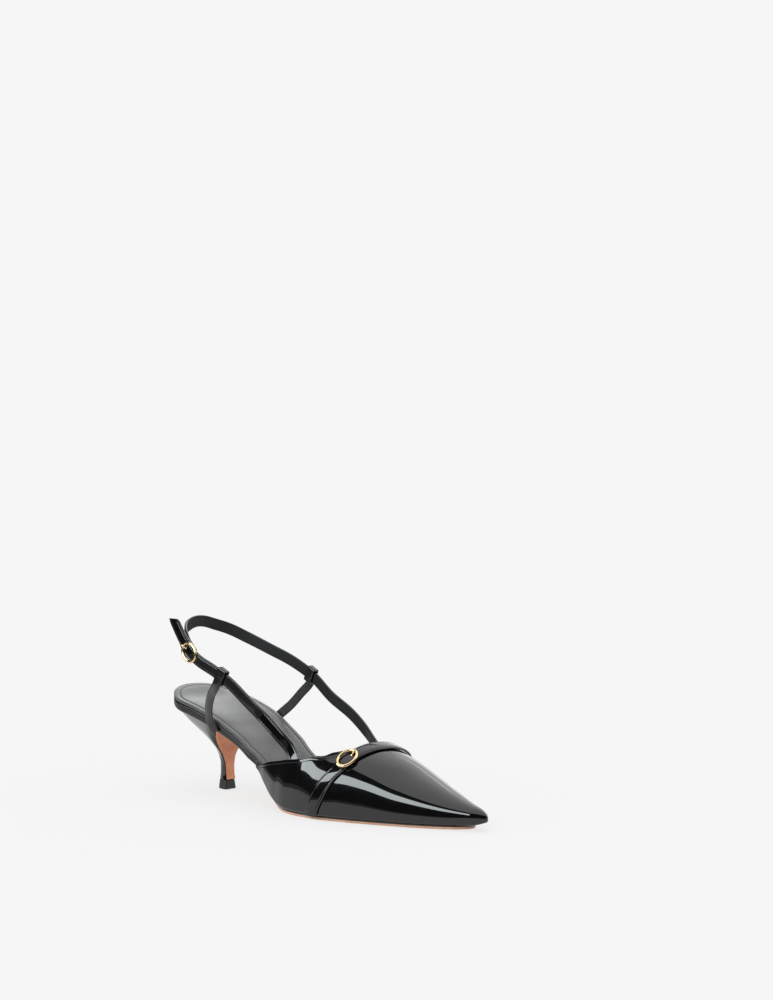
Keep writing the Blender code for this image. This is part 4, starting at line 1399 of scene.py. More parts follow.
@dataclass(frozen=True)
class SlingPaths:
    """Routes of the straps round the heel."""

    last: Last
    strap_width: float = 0.0076
    strap_thickness: float = 0.0016
    lean_clearance: float = 0.0021
    leave_rise: float = 0.0060
    height: float = 0.1040
    spread: float = 0.0720
    step: float = 0.0009
    axis_station: float = 0.197
    outer_face: tuple[float, float, float] = (0.15, -1.0, 0.0)
    outer_lean: float = 0.34
    lean_reach: float = 0.044
    lean_fade: float = 0.015

    def route(self, anchors: Sequence, rows: Sequence, side: int) -> np.ndarray:
        """Middle of a strap.

        Args:
            anchors: Where it is sewn inside the quarter.
            rows: Its route.
            side: -1 for the outer side, 1 for the inner.

        Returns:
            Points of its middle.
        """
        last = self.last
        knots = []
        for station, share, inner in anchors:
            x = last.place_x(station)
            angle = last.angle_at(np.array(x), last.side_height * share, side)
            inset = last.wall + self.lean_clearance + self.strap_thickness * (0.5 + inner)
            knots.append(last.upper(x, angle, inset))
        knots[-1] = knots[-1] + np.array((0.0, 0.0, self.leave_rise))
        for station, across, high in rows:
            knots.append(np.array((last.place_x(station), across * self.spread, high * self.height)))
        return curve_through(np.array(knots), self.step)

    def inner(self) -> tuple[np.ndarray, np.ndarray]:
        """Sling from the inner quarter round the heel.

        Returns:
            Its middle, and its way out at each point.
        """
        path = self.route(INNER_ANCHORS, MEDIAL_ROUTE, 1)
        tangents = np.gradient(path, axis=0)
        flat = unit(np.stack((-tangents[:, 1], tangents[:, 0], np.zeros(len(path))), axis=-1))
        away = path - np.array((self.last.place_x(self.axis_station), 0.0, 0.0))
        way = np.sign(np.sum(flat * away, axis=1, keepdims=True))
        return path, flat * way

    def outer(self) -> tuple[np.ndarray, np.ndarray]:
        """Outer strap from its quarter to the end of its tail.

        Returns:
            Its middle, and its way out at each point.
        """
        path = self.route(OUTER_ANCHORS, LATERAL_ROUTE, -1)
        tangents = unit(np.gradient(path, axis=0))
        face = np.tile(np.array(self.outer_face), (len(path), 1))
        beyond = np.arange(len(path)) * self.step - self.lean_reach
        face[:, 2] = self.outer_lean * ease(1 - beyond / self.lean_fade)
        return path, unit(face - np.sum(face * tangents, axis=1, keepdims=True) * tangents)

    def at(self, strap: tuple[np.ndarray, np.ndarray],
           station: float) -> tuple[np.ndarray, np.ndarray, np.ndarray]:
        """Where a strap first passes a station.

        Args:
            strap: Its middle, and its way out at each point.
            station: The station.

        Returns:
            The place, the way along and the way out.
        """
        path, outs = strap
        x = self.last.place_x(station)
        i = int(np.argmax((path[:-1, 0] - x) * (path[1:, 0] - x) <= 0))
        share = (path[i, 0] - x) / (path[i, 0] - path[i + 1, 0])
        place = path[i] + (path[i + 1] - path[i]) * share
        tangents = np.gradient(path, axis=0)
        return place, unit(tangents[i] * (1 - share) + tangents[i + 1] * share), outs[i]


@dataclass(frozen=True)
class Sling:
    """Sling strap, outer strap, and the supports with their keepers."""

    paths: SlingPaths
    edge_radius: float = 0.0005
    crown: float = 0.0001
    groove_depth: float = 0.00012
    tail_width: float = 0.82
    tail_point: float = 0.0040
    tail_slant: float = 0.0065
    buckle_swell: float = 0.26
    swell_reach: float = 0.0055
    buckle_from_end: float = 0.0300
    unsewn_end: float = 0.007
    stitches: StitchRow = StitchRow(pitch=0.0022)
    keeper_outer: float = 0.291
    keeper_inner: float = 0.310
    foot_outer: float = 0.226
    foot_inner: float = 0.208
    support_width: float = 0.0064
    support_thickness: float = 0.0012
    keeper_wall: float = 0.0012
    support_edge: float = 0.0004
    support_crown: float = 0.0003
    support_groove: float = 0.0011
    support_groove_depth: float = 0.00010
    keeper_length: float = 0.0065
    keeper_square: float = 9.0
    clearance: float = 0.0004
    stitch_inset: float = 0.0013

    def build(self, wardrobe: Wardrobe) -> None:
        """Makes the straps, supports and stitches.

        Args:
            wardrobe: Makes the finishes.
        """
        inner, outer = self.paths.inner(), self.paths.outer()
        section = rounded_section(self.paths.strap_width, self.paths.strap_thickness, self.edge_radius,
                                  self.crown, self.stitch_inset, self.groove_depth)
        faces = [wardrobe(Finish.STRAP), wardrobe(Finish.LINING)]
        numbers = facing(section, self.paths.strap_thickness)
        shell = Shell()
        shell.tube(sweep(*inner, section), numbers)
        shell.make("sling_leather", faces, ["sling_strap"])
        left = np.linalg.norm(outer[0] - outer[0][-1], axis=1)
        narrow = np.clip(self.tail_width + (1 - self.tail_width) * left / self.tail_point, 0.0, 1.0)
        swell = np.exp(-(((left - self.buckle_from_end) / self.swell_reach) ** 2))
        shell = Shell()
        shell.tube(sweep(*outer, section, narrow + self.buckle_swell * swell, self.tail_slant), numbers)
        shell.make("outer_strap_leather", faces, ["strap_outer"])
        self.stitch("sling_stitches", inner, wardrobe)
        self.stitch("outer_strap_stitches", outer, wardrobe)
        loop = self.paths.at(outer, self.keeper_outer)
        self.support("support_outer", loop, self.foot_outer, SUPPORT_OUTER, -1, wardrobe)
        loop = self.paths.at(inner, self.keeper_inner)
        self.support("support_inner", loop, self.foot_inner, SUPPORT_INNER, 1, wardrobe)

    def stitch(self, name: str, strap: tuple[np.ndarray, np.ndarray], wardrobe: Wardrobe) -> None:
        """Sews a row along each edge of a strap, on its outer face.

        Args:
            name: Name of the piece.
            strap: The strap's middle, and its way out at each point.
            wardrobe: Makes the finishes.
        """
        path, outs = strap
        tangents = unit(np.gradient(path, axis=0))
        sides = np.cross(tangents, outs)
        threads = Shell()
        reach = self.paths.strap_width / 2 - self.stitch_inset
        stop = len(path) - int(self.unsewn_end / self.paths.step)
        for way in (-1, 1):
            line = path + sides * way * reach + outs * (self.paths.strap_thickness / 2)
            self.stitches.add(threads, line[:stop], outs[:stop])
        threads.make(name, [wardrobe(Finish.THREAD)])

    def support(self, node: str, loop: tuple[np.ndarray, np.ndarray, np.ndarray],
                foot_station: float, bends: Sequence, side: int, wardrobe: Wardrobe) -> None:
        """Makes a support strap with its keeper.

        Args:
            node: CAD node that it stands for.
            loop: Place, way along and way out of the strap in the keeper.
            foot_station: Station of its lower end.
            bends: Rows of its bends.
            side: -1 for the outer side, 1 for the inner.
            wardrobe: Makes the finishes.
        """
        place, tangent, out = loop
        last = self.paths.last
        down = -np.cross(tangent, out)
        down = down * -math.copysign(1.0, down[2])
        thick = self.paths.strap_thickness / 2 + self.clearance
        wide = self.paths.strap_width / 2 + self.clearance
        end = place + out * (thick + self.keeper_wall / 2)
        below = end + down * (wide + self.keeper_wall)
        x = last.place_x(foot_station)
        edge = float(last.board_edges(np.array(x))[0 if side < 0 else 1])
        rest = side * (last.gap + self.support_thickness / 2)
        foot = np.array((x, edge + rest, float(last.under_board(np.array(x)))))
        knots = []
        for ahead, up, bow in bends:
            knot = foot + (below - foot) * np.array((ahead, up, up))
            knot[1] = foot[1] if up == 0 else knot[1] + side * bow * self.support_width
            knots.append(knot)
        path = curve_through(np.array(knots + [below, end]), self.paths.step)
        outs = np.tile(out, (len(path), 1))
        section = rounded_section(self.support_width, self.support_thickness, self.support_edge,
                                  self.support_crown, self.support_groove, self.support_groove_depth)
        shell = Shell()
        shell.tube(sweep(path, outs, section), facing(section, self.support_thickness))
        wide, thick = wide + self.keeper_wall / 2, thick + self.keeper_wall / 2
        shell.grid(self.keeper(place, tangent, out, wide, thick), closed=True, looped=True)
        shell.make(node + "_leather", [wardrobe(Finish.STRAP), wardrobe(Finish.LINING)], [node])

    def keeper(self, place: np.ndarray, tangent: np.ndarray, out: np.ndarray, wide: float,
               deep: float) -> np.ndarray:
        """Grid of a keeper: a rounded loop of flat leather round the strap.

        Args:
            place: Middle of the strap in it.
            tangent: Way along the strap.
            out: Way out.
            wide: Half width of the loop's middle line.
            deep: Half depth of the loop's middle line.

        Returns:
            Grid of points, closed both ways.
        """
        side = np.cross(tangent, out)
        turns = ring_turns(48)
        a = powered(np.cos(turns), 2 / self.keeper_square)
        b = powered(np.sin(turns), 2 / self.keeper_square)
        line = np.stack((a * wide, b * deep), axis=-1)
        steep = self.keeper_square - 1
        ways = unit(np.stack((powered(a, steep) / wide, powered(b, steep) / deep), axis=-1))
        ring = ring_turns(20)
        low = powered(np.cos(ring), 0.5) * self.keeper_wall / 2
        long_way = powered(np.sin(ring), 0.25) * self.keeper_length / 2
        grid = []
        for (p, q), (u, v) in zip(line, ways):
            middle = place + side * p + out * q
            away = side * u + out * v
            grid.append(middle + away * low[:, None] + tangent * long_way[:, None])
        return np.array(grid)


# Distances of a sheet's rings from its edge: on top a close run and then wide steps, and on the underside.
TOP_RINGS = (*(i * 0.00035 for i in range(24)), 0.0095, 0.012, 0.015, 0.020, 0.028, 0.060)
UNDER_RINGS = (0.0, 0.002, 0.006, 0.012, 0.020, 0.028, 0.060)


@dataclass(frozen=True)
class Slab:
    """Sheet under the foot, worked out from its outline inwards.

    A ring that would pass the spine stops there, so the two halves close along it.
    """

    outline: np.ndarray
    spine: np.ndarray
    bottom: Callable[[np.ndarray], np.ndarray]
    top: Callable[[np.ndarray], np.ndarray]
    radius: float
    relief: Callable[[np.ndarray], np.ndarray]

    def rows(self) -> np.ndarray:
        """Grid of the sheet: round its edge and over both faces.

        Returns:
            Grid with a row for each ring from the top's middle round the edge to the bottom's middle.
        """
        reach = np.linalg.norm(self.spine - self.outline, axis=1)
        toward = unit(self.spine - self.outline)
        rings = []
        for distance in TOP_RINGS[::-1]:
            depth = np.minimum(self.radius + np.minimum(distance, reach - self.radius), reach)
            flat = self.outline + toward * depth[:, None]
            rings.append(np.column_stack((flat, self.top(flat[:, 0]) + self.relief(depth))))
        low_z, high_z = self.bottom(self.outline[:, 0]), self.top(self.outline[:, 0])
        edge = np.minimum(self.radius, (high_z - low_z) * 0.45)
        start = self.relief(np.full(len(reach), self.radius))
        for turn in np.linspace(0, PI / 2, 7)[1:]:
            flat = self.outline + toward * (self.radius * (1 - math.sin(turn)))
            rings.append(np.column_stack((flat, high_z + start - edge * (1 - math.cos(turn)))))
        for share in np.linspace(0, 1, 7)[1:-1]:
            height = (high_z + start - edge) * (1 - share) + (low_z + edge) * share
            rings.append(np.column_stack((self.outline, height)))
        for turn in np.linspace(PI / 2, 0, 5)[:-1]:
            flat = self.outline + toward * (self.radius * (1 - math.sin(turn)))
            rings.append(np.column_stack((flat, low_z + edge * (1 - math.cos(turn)))))
        for distance in UNDER_RINGS:
            flat = self.outline + toward * np.minimum(self.radius + distance, reach)[:, None]
            rings.append(np.column_stack((flat, self.bottom(flat[:, 0]))))
        return np.array(rings)


@dataclass(frozen=True)
class FootBed:
    """Insole board in its cover, padded sock with a sewn line, and the outsole."""

    last: Last
    channel_inset: float = 0.0038
    channel_depth: float = 0.00030
    channel_width: float = 0.00045
    rim_rise: float = 0.00018
    rim_width: float = 0.0016
    pad_rise: float = 0.00012
    pad_width: float = 0.0015
    dish_start: float = 0.006
    dish_run: float = 0.018
    dish_share: float = 0.85
    sheet_edge: float = 0.0008
    sole_edge: float = 0.0003
    spine_stop: float = 0.008
    sole_spine_start: float = 0.018
    stitches: StitchRow = StitchRow(pitch=0.0024, length=0.0018, radius=0.00018)
    outsole_inset: float = 0.0017
    waist_inset: float = 0.0045
    outsole_overhang: float = 0.0095
    outsole_back: float = 0.0157
    # Black upper part of the outsole's edge: its share of the edge's height, its reach back from the toe, the
    # x behind which it covers the whole edge, its fade, and its share there.
    black_share: float = 0.28
    black_toe: float = 0.0080
    black_back: float = 0.0640
    black_fade: float = 0.006
    black_full: float = 1.2
    row_step: float = 0.0012
    seat_rows: int = 40
    toe_rows: int = 20

    def outline(self, edges: Callable, back: float, front: float, round_back: bool,
                round_front: float = 0.0) -> np.ndarray:
        """Closed outline of a sheet.

        Args:
            edges: Gives the outer and inner side at places.
            back: x of its back end.
            front: x of its front end.
            round_back: Whether the back is round.
            round_front: Length of a round front end, or 0.

        Returns:
            Points round the sheet, x and y.
        """
        last = self.last
        start = back + last.seat_round if round_back else back
        stop = front - round_front
        xs = spaced(start, stop, self.row_step)
        if round_back:
            xs = np.concatenate((crowded(start, back, self.seat_rows)[::-1][:-1], xs))
        if round_front:
            xs = np.concatenate((xs[:-1], crowded(stop, front, self.toe_rows)))
        outer, inner = edges(xs)
        low = np.stack((xs, outer), axis=-1)
        high = np.stack((xs, inner), axis=-1)
        return np.vstack((low[::-1], high[1 if round_back else 0:len(high) - (1 if round_front else 0)]))

    def spine(self, outline: np.ndarray, edges: Callable, back: float, front: float) -> np.ndarray:
        """Spine of a sheet.

        Args:
            outline: Points round the sheet.
            edges: Gives the outer and inner side at places.
            back: x of the spine's back end.
            front: x of its front end.

        Returns:
            Spine point of each outline point.
        """
        xs = np.clip(outline[:, 0], back, front)
        outer, inner = edges(xs)
        return np.stack((xs, (outer + inner) / 2), axis=-1)

    def outsole_edges(self, x: np.ndarray) -> tuple[np.ndarray, np.ndarray]:
        """Sides of the outsole, drawn in under the arch and round at the toe.

        Args:
            x: Places along the shoe.

        Returns:
            y of the outer and of the inner side.
        """
        last = self.last
        outer, inner = last.feather(x)
        arch = 1 - ease((x - last.rear_corner) / (last.throat - last.rear_corner) * 2)
        inset = self.outsole_inset + (self.waist_inset - self.outsole_inset) * arch
        tip = last.toe_tip - self.outsole_overhang
        share = 1 - np.clip((tip - x) / last.nose_length, 0.0, 1.0)
        half = ((inner - outer) / 2 - inset) * np.sqrt(np.maximum(1 - share * share, 0.0))
        return (outer + inner) / 2 - half, (outer + inner) / 2 + half

    def sheet(self, name: str, node: str, slab: Slab, finishes: Sequence[bpy.types.Material],
              black_band: np.ndarray | None = None) -> None:
        """Makes a sheet's piece.

        Args:
            name: Name of the piece.
            node: CAD node that it stands for.
            slab: The sheet.
            finishes: Its material, and that of the black upper part of its edge.
            black_band: Height of the black part of the edge, from its top, at each point of the outline.
        """
        shell = Shell()
        rows = slab.rows()
        numbers = 0
        if black_band is not None:
            top = slab.top(slab.outline[:, 0])
            on_edge = np.linalg.norm(rows[:, :, :2] - slab.outline, axis=2) < slab.radius
            numbers = np.where(on_edge & (rows[:, :, 2] > top - black_band), 1, 0)
        shell.grid(rows, numbers, closed=True)
        shell.make(name, finishes, [node])

    def sock_relief(self, depth: np.ndarray) -> np.ndarray:
        """Relief of the sock: a broad rim, the sewn channel and the padded middle.

        Args:
            depth: Distances from its edge.

        Returns:
            Rise over the edge at each.
        """
        rim = self.rim_rise * ease(depth / self.rim_width)
        channel = -self.channel_depth * np.exp(-(((depth - self.channel_inset) / self.channel_width) ** 2))
        dish = -self.last.sock_dish * ease((depth - self.dish_start) / self.dish_run)
        pad = self.pad_rise * ease((depth - self.channel_inset) / self.pad_width)
        return rim + channel + dish * self.dish_share + pad

    def build(self, wardrobe: Wardrobe) -> None:
        """Makes the board, sock and outsole.

        Args:
            wardrobe: Makes the finishes.
        """
        last = self.last
        front = last.toe_tip - last.nose_length
        centre = last.seat_back + last.seat_round

        def sock_edges(x: np.ndarray) -> tuple[np.ndarray, np.ndarray]:
            """Sides of the sock."""
            return last.board_edges(x, last.sock_top(x) - last.under_board(x))

        def sock_bottom(x: np.ndarray) -> np.ndarray:
            """Height of the sock's underside."""
            return last.board_top(x) + last.gap

        def flat(depth: np.ndarray) -> np.ndarray:
            """No relief."""
            return np.zeros(len(depth))

        outline = self.outline(last.board_edges, last.seat_back, front, True)
        spine = self.spine(outline, last.board_edges, centre, front - self.spine_stop)
        board = Slab(outline, spine, last.under_board, last.board_top, self.sheet_edge, flat)
        self.sheet("board_cover", "insole_board", board, [wardrobe(Finish.COVER)])

        outline = self.outline(sock_edges, last.seat_back, front, True)
        spine = self.spine(outline, sock_edges, centre, front - self.spine_stop)
        sock = Slab(outline, spine, sock_bottom, last.sock_top, self.sheet_edge, self.sock_relief)
        self.sheet("sock_leather", "sock", sock, [wardrobe(Finish.SOCK)])
        self.stitch(outline, spine, wardrobe)

        tip = last.toe_tip - self.outsole_overhang
        thickness = last.outsole_thickness + last.gap

        def sole_bottom(x: np.ndarray) -> np.ndarray:
            """Height of the outsole's underside."""
            return last.under_board(x) - thickness

        def sole_top(x: np.ndarray) -> np.ndarray:
            """Height of the outsole's upper face."""
            return last.under_board(x) - last.gap

        outline = self.outline(self.outsole_edges, self.outsole_back, tip, False, last.nose_length)
        spine = self.spine(outline, self.outsole_edges, self.outsole_back + self.sole_spine_start,
                           tip - last.nose_length)
        sole = Slab(outline, spine, sole_bottom, sole_top, self.sole_edge, flat)
        # The edge is black over its upper part, and black to the bottom near the toe and towards the heel.
        ahead = ease((outline[:, 0] - (last.toe_tip - self.black_toe)) / self.black_fade)
        behind = 1 - ease((outline[:, 0] - self.black_back) / self.black_fade)
        black_more = (self.black_full - self.black_share) * np.maximum(ahead, behind)
        black_band = thickness * (self.black_share + black_more)
        finishes = [wardrobe(Finish.SOLE), wardrobe(Finish.COVER)]
        self.sheet("outsole_leather", "outsole", sole, finishes, black_band)

    def stitch(self, outline: np.ndarray, spine: np.ndarray, wardrobe: Wardrobe) -> None:
        """Sews the line in the sock's channel.

        Args:
            outline: Points round the sock.
            spine: Spine point of each.
            wardrobe: Makes the finishes.
        """
        toward = unit(spine - outline)
        flat = outline + toward * self.channel_inset
        height = self.last.sock_top(flat[:, 0]) + self.sock_relief(np.full(len(flat), self.channel_inset))
        path = np.column_stack((flat, height))
        upward = np.tile(np.array((0.0, 0.0, 1.0)), (len(path), 1))
        threads = Shell()
        self.stitches.add(threads, path, upward)
        threads.make("sock_stitches", [wardrobe(Finish.THREAD)])


# Heel tip: height above the floor, and how far outside its flared edge each ring stands.
TIP_RINGS = (
    (0.00000, -0.00025),
    (0.00015, -0.00008),
    (0.00040, 0.00000),
    (0.00300, -0.00030),
    (0.00520, -0.00060),
    (0.00565, -0.00070),
    (0.00580, -0.00085),
)


@dataclass(frozen=True)
class Heel:
    """Covered heel with its breast and its tip."""

    last: Last
    tip_width: float = 0.0094
    tip_depth: float = 0.0100
    tip_height: float = 0.0058
    tip_flare: float = 0.0007
    front: float = 0.0154
    inset: float = 0.0017
    breast_square: float = 5.0
    widest: float = 0.28
    breast_reach: float = 0.80
    breast_thickness: float = 0.0007
    breast_start: float = 0.01
    breast_end: float = 0.985
    breast_edge: float = 0.06
    breast_rows: int = 90
    breast_columns: int = 31
    rows: int = 110
    columns: int = 120

    def ring(self, share: float, turns: np.ndarray, grow: float = 0.0) -> np.ndarray:
        """Points round the heel at a share of its height.

        Args:
            share: Share of the height from foot to seat.
            turns: Angles, 0 at the front's middle.
            grow: Distance outside the heel.

        Returns:
            Points x and y.
        """
        foot = (self.tip_width / 2 - self.tip_flare, -self.tip_depth / 2 + self.tip_flare,
                self.tip_depth / 2 - self.tip_flare)
        seat = (self.last.seat_width / 2 - self.inset, self.last.seat_back + self.inset, self.front)
        grown = [float(Curve(HEEL, column)(share)) for column in (1, 2, 3)]
        half, back, front = (a + (b - a) * g for a, b, g in zip(foot, seat, grown))
        square = float(Curve(HEEL, 4)(share))
        widest = front - self.widest * (front - back)
        half, back, front = half + grow, back - grow, front + grow
        ahead, aside = np.cos(turns), np.sin(turns)
        power = np.where(ahead > 0, self.breast_square, square)
        reach = np.where(ahead > 0, front - widest, widest - back)
        x = widest + reach * powered(ahead, 2 / power)
        return np.stack((x, half * powered(aside, 2 / power)), axis=-1)

    def level(self, share: float, turns: np.ndarray) -> np.ndarray:
        """Heights round the heel.

        Args:
            share: Share of the height from foot to seat.
            turns: Angles, 0 at the front's middle.

        Returns:
            A height for each angle.
        """
        foot = self.tip_height + self.last.gap
        top = self.last.under_board(self.ring(1.0, turns)[:, 0]) - self.last.gap
        return foot + (top - foot) * share

    def build(self, wardrobe: Wardrobe) -> None:
        """Makes the covered heel, its breast and its tip.

        Args:
            wardrobe: Makes the finishes.
        """
        turns = ring_turns(self.columns)
        shares = np.linspace(0, 1, self.rows)
        rings = np.array([np.column_stack((self.ring(s, turns), self.level(s, turns))) for s in shares])
        shell = Shell()
        shell.tube(rings)
        shell.make("heel_patent", [wardrobe(Finish.PATENT)], ["heel"])
        self.breast(wardrobe)
        self.tip(turns, wardrobe)

    def breast(self, wardrobe: Wardrobe) -> None:
        """Makes the cover down the heel's front, worked out from the heel's own form.

        Args:
            wardrobe: Makes the finishes.
        """
        grid = []
        across = np.linspace(-self.breast_reach, self.breast_reach, self.breast_columns)
        turns = np.sign(across) * np.arcsin(np.abs(across) ** (self.breast_square / 2))
        stand_off = self.last.gap * 0.5
        edge = np.minimum(1.0, (self.breast_reach - np.abs(across)) / self.breast_edge)
        for share in np.linspace(self.breast_start, self.breast_end, self.breast_rows):
            z = self.level(share, turns)
            near = np.column_stack((self.ring(share, turns, stand_off), z))
            far = np.column_stack((self.ring(share, turns, stand_off + self.breast_thickness), z))
            far = near + (far - near) * np.sqrt(1 - (1 - edge[:, None]) ** 2)
            grid.append(np.vstack((far, near[::-1][1:-1])))
        shell = Shell()
        shell.tube(np.array(grid))
        shell.make("breast_leather", [wardrobe(Finish.BREAST)], ["breast_cover"])

    def tip(self, turns: np.ndarray, wardrobe: Wardrobe) -> None:
        """Makes the wear piece, flared, with a worn lower edge.

        Args:
            turns: Angles of the points round it.
            wardrobe: Makes the finishes.
        """
        grid = []
        for z, grow in TIP_RINGS:
            flat = self.ring(0.0, turns, self.tip_flare + grow)
            grid.append(np.column_stack((flat, np.full(len(turns), z))))
        shell = Shell()
        shell.tube(np.array(grid))
        shell.make("heel_tip_rubber", [wardrobe(Finish.RUBBER)], ["top_piece"])


# Middle of a prong: place along the buckle, and height as a share of the rise over the frame.
PRONG_LINE = ((-0.30, -1.3), (0.10, -1.3), (0.24, -0.9), (0.34, 0.2), (0.42, 0.9), (0.50, 0.8))


@dataclass(frozen=True)
class Buckle:
    """Oval cast buckle with a flattened rim and a prong."""

    name: str
    middle: np.ndarray
    long_way: np.ndarray
    out: np.ndarray
    length: float
    width: float
    wire: float
    gap: float = -0.0004
    rim_width: float = 1.05
    rim_depth: float = 0.92
    prong_radius: float = 0.0006
    prong_step: float = 0.0003
    prong_width: float = 1.15
    prong_depth: float = 0.85

    def build(self, wardrobe: Wardrobe) -> None:
        """Makes the frame and the prong.

        Args:
            wardrobe: Makes the finishes.
        """
        across = np.cross(self.out, self.long_way)
        centre = self.middle + self.out * (self.gap + self.wire / 2)
        spins = ring_turns(24)[:, None]
        grid = []
        for turn in ring_turns(96):
            a, b = self.long_way * math.cos(turn), across * math.sin(turn)
            middle = centre + (a * (self.length - self.wire) + b * (self.width - self.wire)) / 2
            away = unit(a / self.length + b / self.width)
            ring = away * np.cos(spins) * self.rim_width + self.out * np.sin(spins) * self.rim_depth
            grid.append(middle + ring * self.wire / 2)
        shell = Shell()
        shell.grid(np.array(grid), closed=True, looped=True)
        shell.make(self.name + "_gold", [wardrobe(Finish.GOLD)], [self.name])
        self.prong(centre, wardrobe)

    def prong(self, centre: np.ndarray, wardrobe: Wardrobe) -> None:
        """Makes the prong, which comes up through the strap's hole and rests on the frame.

        Args:
            centre: Middle of the frame.
            wardrobe: Makes the finishes.
        """
        over = self.wire / 2 + self.gap + self.prong_radius
        reach, rise = self.long_way * self.length, self.out * over
        knots = np.array([centre + reach * share + rise * lift for share, lift in PRONG_LINE])
        path = curve_through(knots, self.prong_step)
        turns = ring_turns(14)
        section = np.stack((self.prong_width * np.cos(turns), self.prong_depth * np.sin(turns)), axis=-1)
        places = np.linspace(0, 1, len(path))
        narrow = 1.25 - 0.35 * places - 0.45 * ease((places - 0.93) / 0.07)
        shell = Shell()
        outs = np.tile(self.out, (len(path), 1))
        shell.tube(sweep(path, outs, section * self.prong_radius, narrow))
        shell.make(self.name + "_prong_gold", [wardrobe(Finish.GOLD)], [self.name + "_prong"])


@dataclass(frozen=True)
class Softbox:
    """Soft light of a studio, aimed at the vamp."""

    name: str
    azimuth: float
    elevation: float
    distance: float
    width: float
    height: float
    power: float
    roll: float = 0.0
    colour: str = "#FFFFFF"

    def build(self, target: np.ndarray) -> bpy.types.Object:
        """Makes the light.

        Args:
            target: Point that it is aimed at.

        Returns:
            The light.
        """
        az, el = math.radians(self.azimuth), math.radians(self.elevation)
        way = np.array((math.cos(az) * math.cos(el), math.sin(az) * math.cos(el), math.sin(el)))
        data = bpy.data.lights.new(self.name, "AREA")
        data.shape = "RECTANGLE"
        data.size, data.size_y = self.width, self.height
        data.energy = self.power
        data.color = linear(self.colour)[:3]
        made = bpy.data.objects.new(self.name, data)
        bpy.context.scene.collection.objects.link(made)
        made.location = target + way * self.distance
        turned = Matrix.Rotation(math.radians(self.roll), 3, "Z")
        made.rotation_euler = (Euler((PI / 2 - el, 0.0, az + PI / 2)).to_matrix() @ turned).to_euler()
        return made


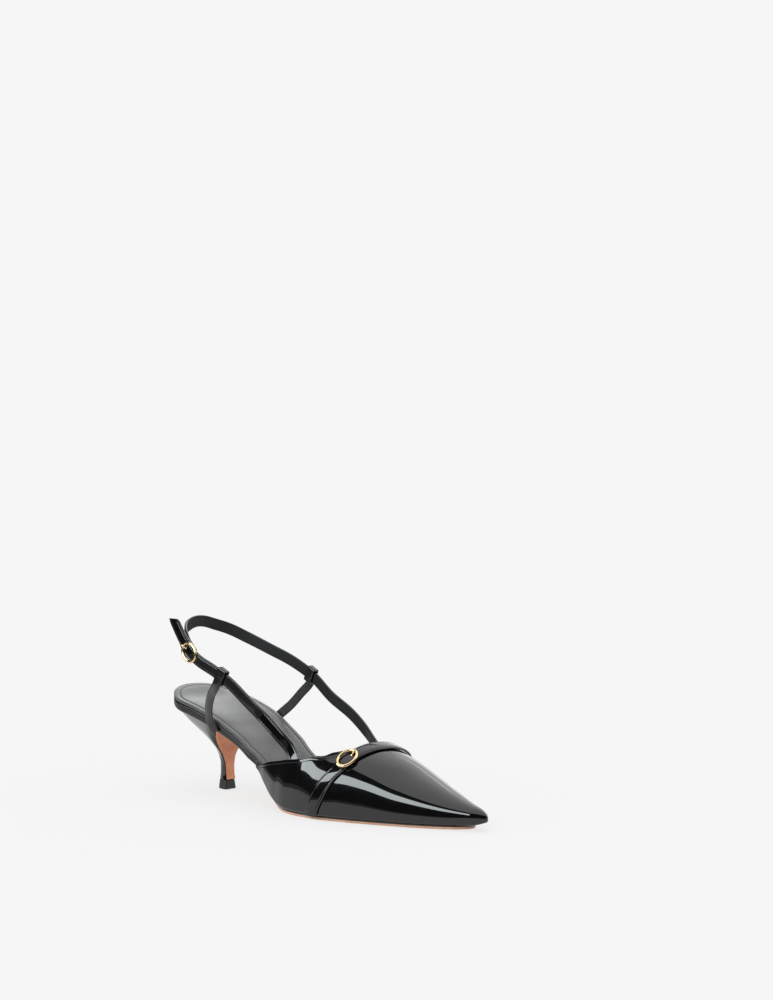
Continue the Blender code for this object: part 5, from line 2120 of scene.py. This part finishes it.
@dataclass(frozen=True)
class Studio:
    """Camera, paper floor and soft light."""

    camera_place: tuple[float, float, float] = (0.9714, -0.8490, 0.2300)
    camera_azimuth: float = 44.24
    camera_pitch: float = 1.95
    focal_length: float = 72.0
    sensor: float = 36.0
    floor_size: float = 60.0
    clip_end: float = 200.0
    target: tuple[float, float, float] = (0.150, -0.015, 0.020)
    mirrored_light: float = 0.03

    def camera(self) -> None:
        """Places the camera at the photograph's angle."""
        data = bpy.data.cameras.new("camera")
        data.lens = self.focal_length
        data.sensor_fit = "VERTICAL"
        data.sensor_height = self.sensor
        data.clip_end = self.clip_end
        made = bpy.data.objects.new("camera", data)
        bpy.context.scene.collection.objects.link(made)
        made.location = self.camera_place
        made.rotation_euler = (math.radians(90 - self.camera_pitch), 0.0, math.radians(self.camera_azimuth))
        bpy.context.scene.camera = made

    def floor(self) -> None:
        """Lays the paper floor."""
        half = self.floor_size / 2
        mesh = bpy.data.meshes.new("floor")
        corners = [(-half, -half, 0.0), (half, -half, 0.0), (half, half, 0.0), (-half, half, 0.0)]
        mesh.from_pydata(corners, [], [(0, 1, 2, 3)])
        mesh.materials.append(PaperFloor().build())
        made = bpy.data.objects.new("floor", mesh)
        bpy.context.scene.collection.objects.link(made)
        made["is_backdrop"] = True

    def room(self) -> None:
        """Sets the room: white light on matt faces, near black in glossy ones, the paper's tone behind."""
        world = bpy.data.worlds.new("room")
        bpy.context.scene.world = world
        world.use_nodes = True
        tree = world.node_tree
        tree.nodes.clear()
        path = add_node(tree, "ShaderNodeLightPath")
        light = add_node(tree, "ShaderNodeBackground", {"Color": linear("#FFFFFF"), "Strength": 1.0})
        dark = add_node(tree, "ShaderNodeBackground",
                        {"Color": linear("#FFFFFF"), "Strength": self.mirrored_light})
        pale = add_node(tree, "ShaderNodeBackground", {"Color": linear("#F6F6F6"), "Strength": 1.0})
        unseen = add_node(tree, "ShaderNodeMixShader", {},
                          {0: path.outputs["Is Glossy Ray"], 1: light.outputs[0], 2: dark.outputs[0]})
        shown = add_node(tree, "ShaderNodeMixShader", {},
                         {0: path.outputs["Is Camera Ray"], 1: unseen.outputs[0], 2: pale.outputs[0]})
        add_node(tree, "ShaderNodeOutputWorld", {}, {0: shown.outputs[0]})

    def light(self) -> None:
        """Hangs the softboxes; they light the shoe alone, so that the paper stays even."""
        boxes = (
            Softbox("strip", -107.0, 30.0, 1.3, 1.42, 0.41, 15.0, 13.0, "#F0F8FB"),
            Softbox("back_wall", 64.0, 58.5, 3.0, 5.2, 10.8, 245.0),
            Softbox("backdrop", 125.0, 16.0, 3.0, 2.6, 2.3, 25.0),
        )
        lit = bpy.data.collections.new("lit")
        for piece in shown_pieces():
            lit.objects.link(piece)
        for box in boxes:
            made = box.build(np.array(self.target))
            made.light_linking.receiver_collection = lit

    def build(self) -> None:
        """Sets the whole studio."""
        self.camera()
        self.floor()
        self.room()
        self.light()
        view = bpy.context.scene.view_settings
        view.view_transform = "Standard"
        view.look = "None"


# Sizes of the buckles: length, width and wire. The sling's stands at a station of the outer strap.
SLING_BUCKLE = (0.0152, 0.0120, 0.0017)
SLING_BUCKLE_STATION = 0.182
VAMP_BUCKLE = (0.0150, 0.0112, 0.0018)
VAMP_BUCKLE_LIFT = 0.00028


def main() -> None:
    """Builds the shoe piece by piece, then the studio."""
    logging.basicConfig(level=logging.INFO, format="%(name)s %(message)s")
    last = Last()
    wardrobe = Wardrobe()
    FootBed(last).build(wardrobe)
    Heel(last).build(wardrobe)
    Upper(last).build(wardrobe)
    vamp_strap = VampStrap(last)
    vamp_strap.build(wardrobe)
    paths = SlingPaths(last)
    Sling(paths).build(wardrobe)
    place, long_way, out = paths.at(paths.outer(), SLING_BUCKLE_STATION)
    middle = place + out * paths.strap_thickness / 2
    Buckle("sling_buckle", middle, long_way, out, *SLING_BUCKLE).build(wardrobe)
    place, long_way, out = vamp_strap.buckle_frame()
    middle = place + out * VAMP_BUCKLE_LIFT
    Buckle("vamp_buckle", middle, long_way, out, *VAMP_BUCKLE).build(wardrobe)
    Studio().build()


if __name__ == "__main__":
    main()
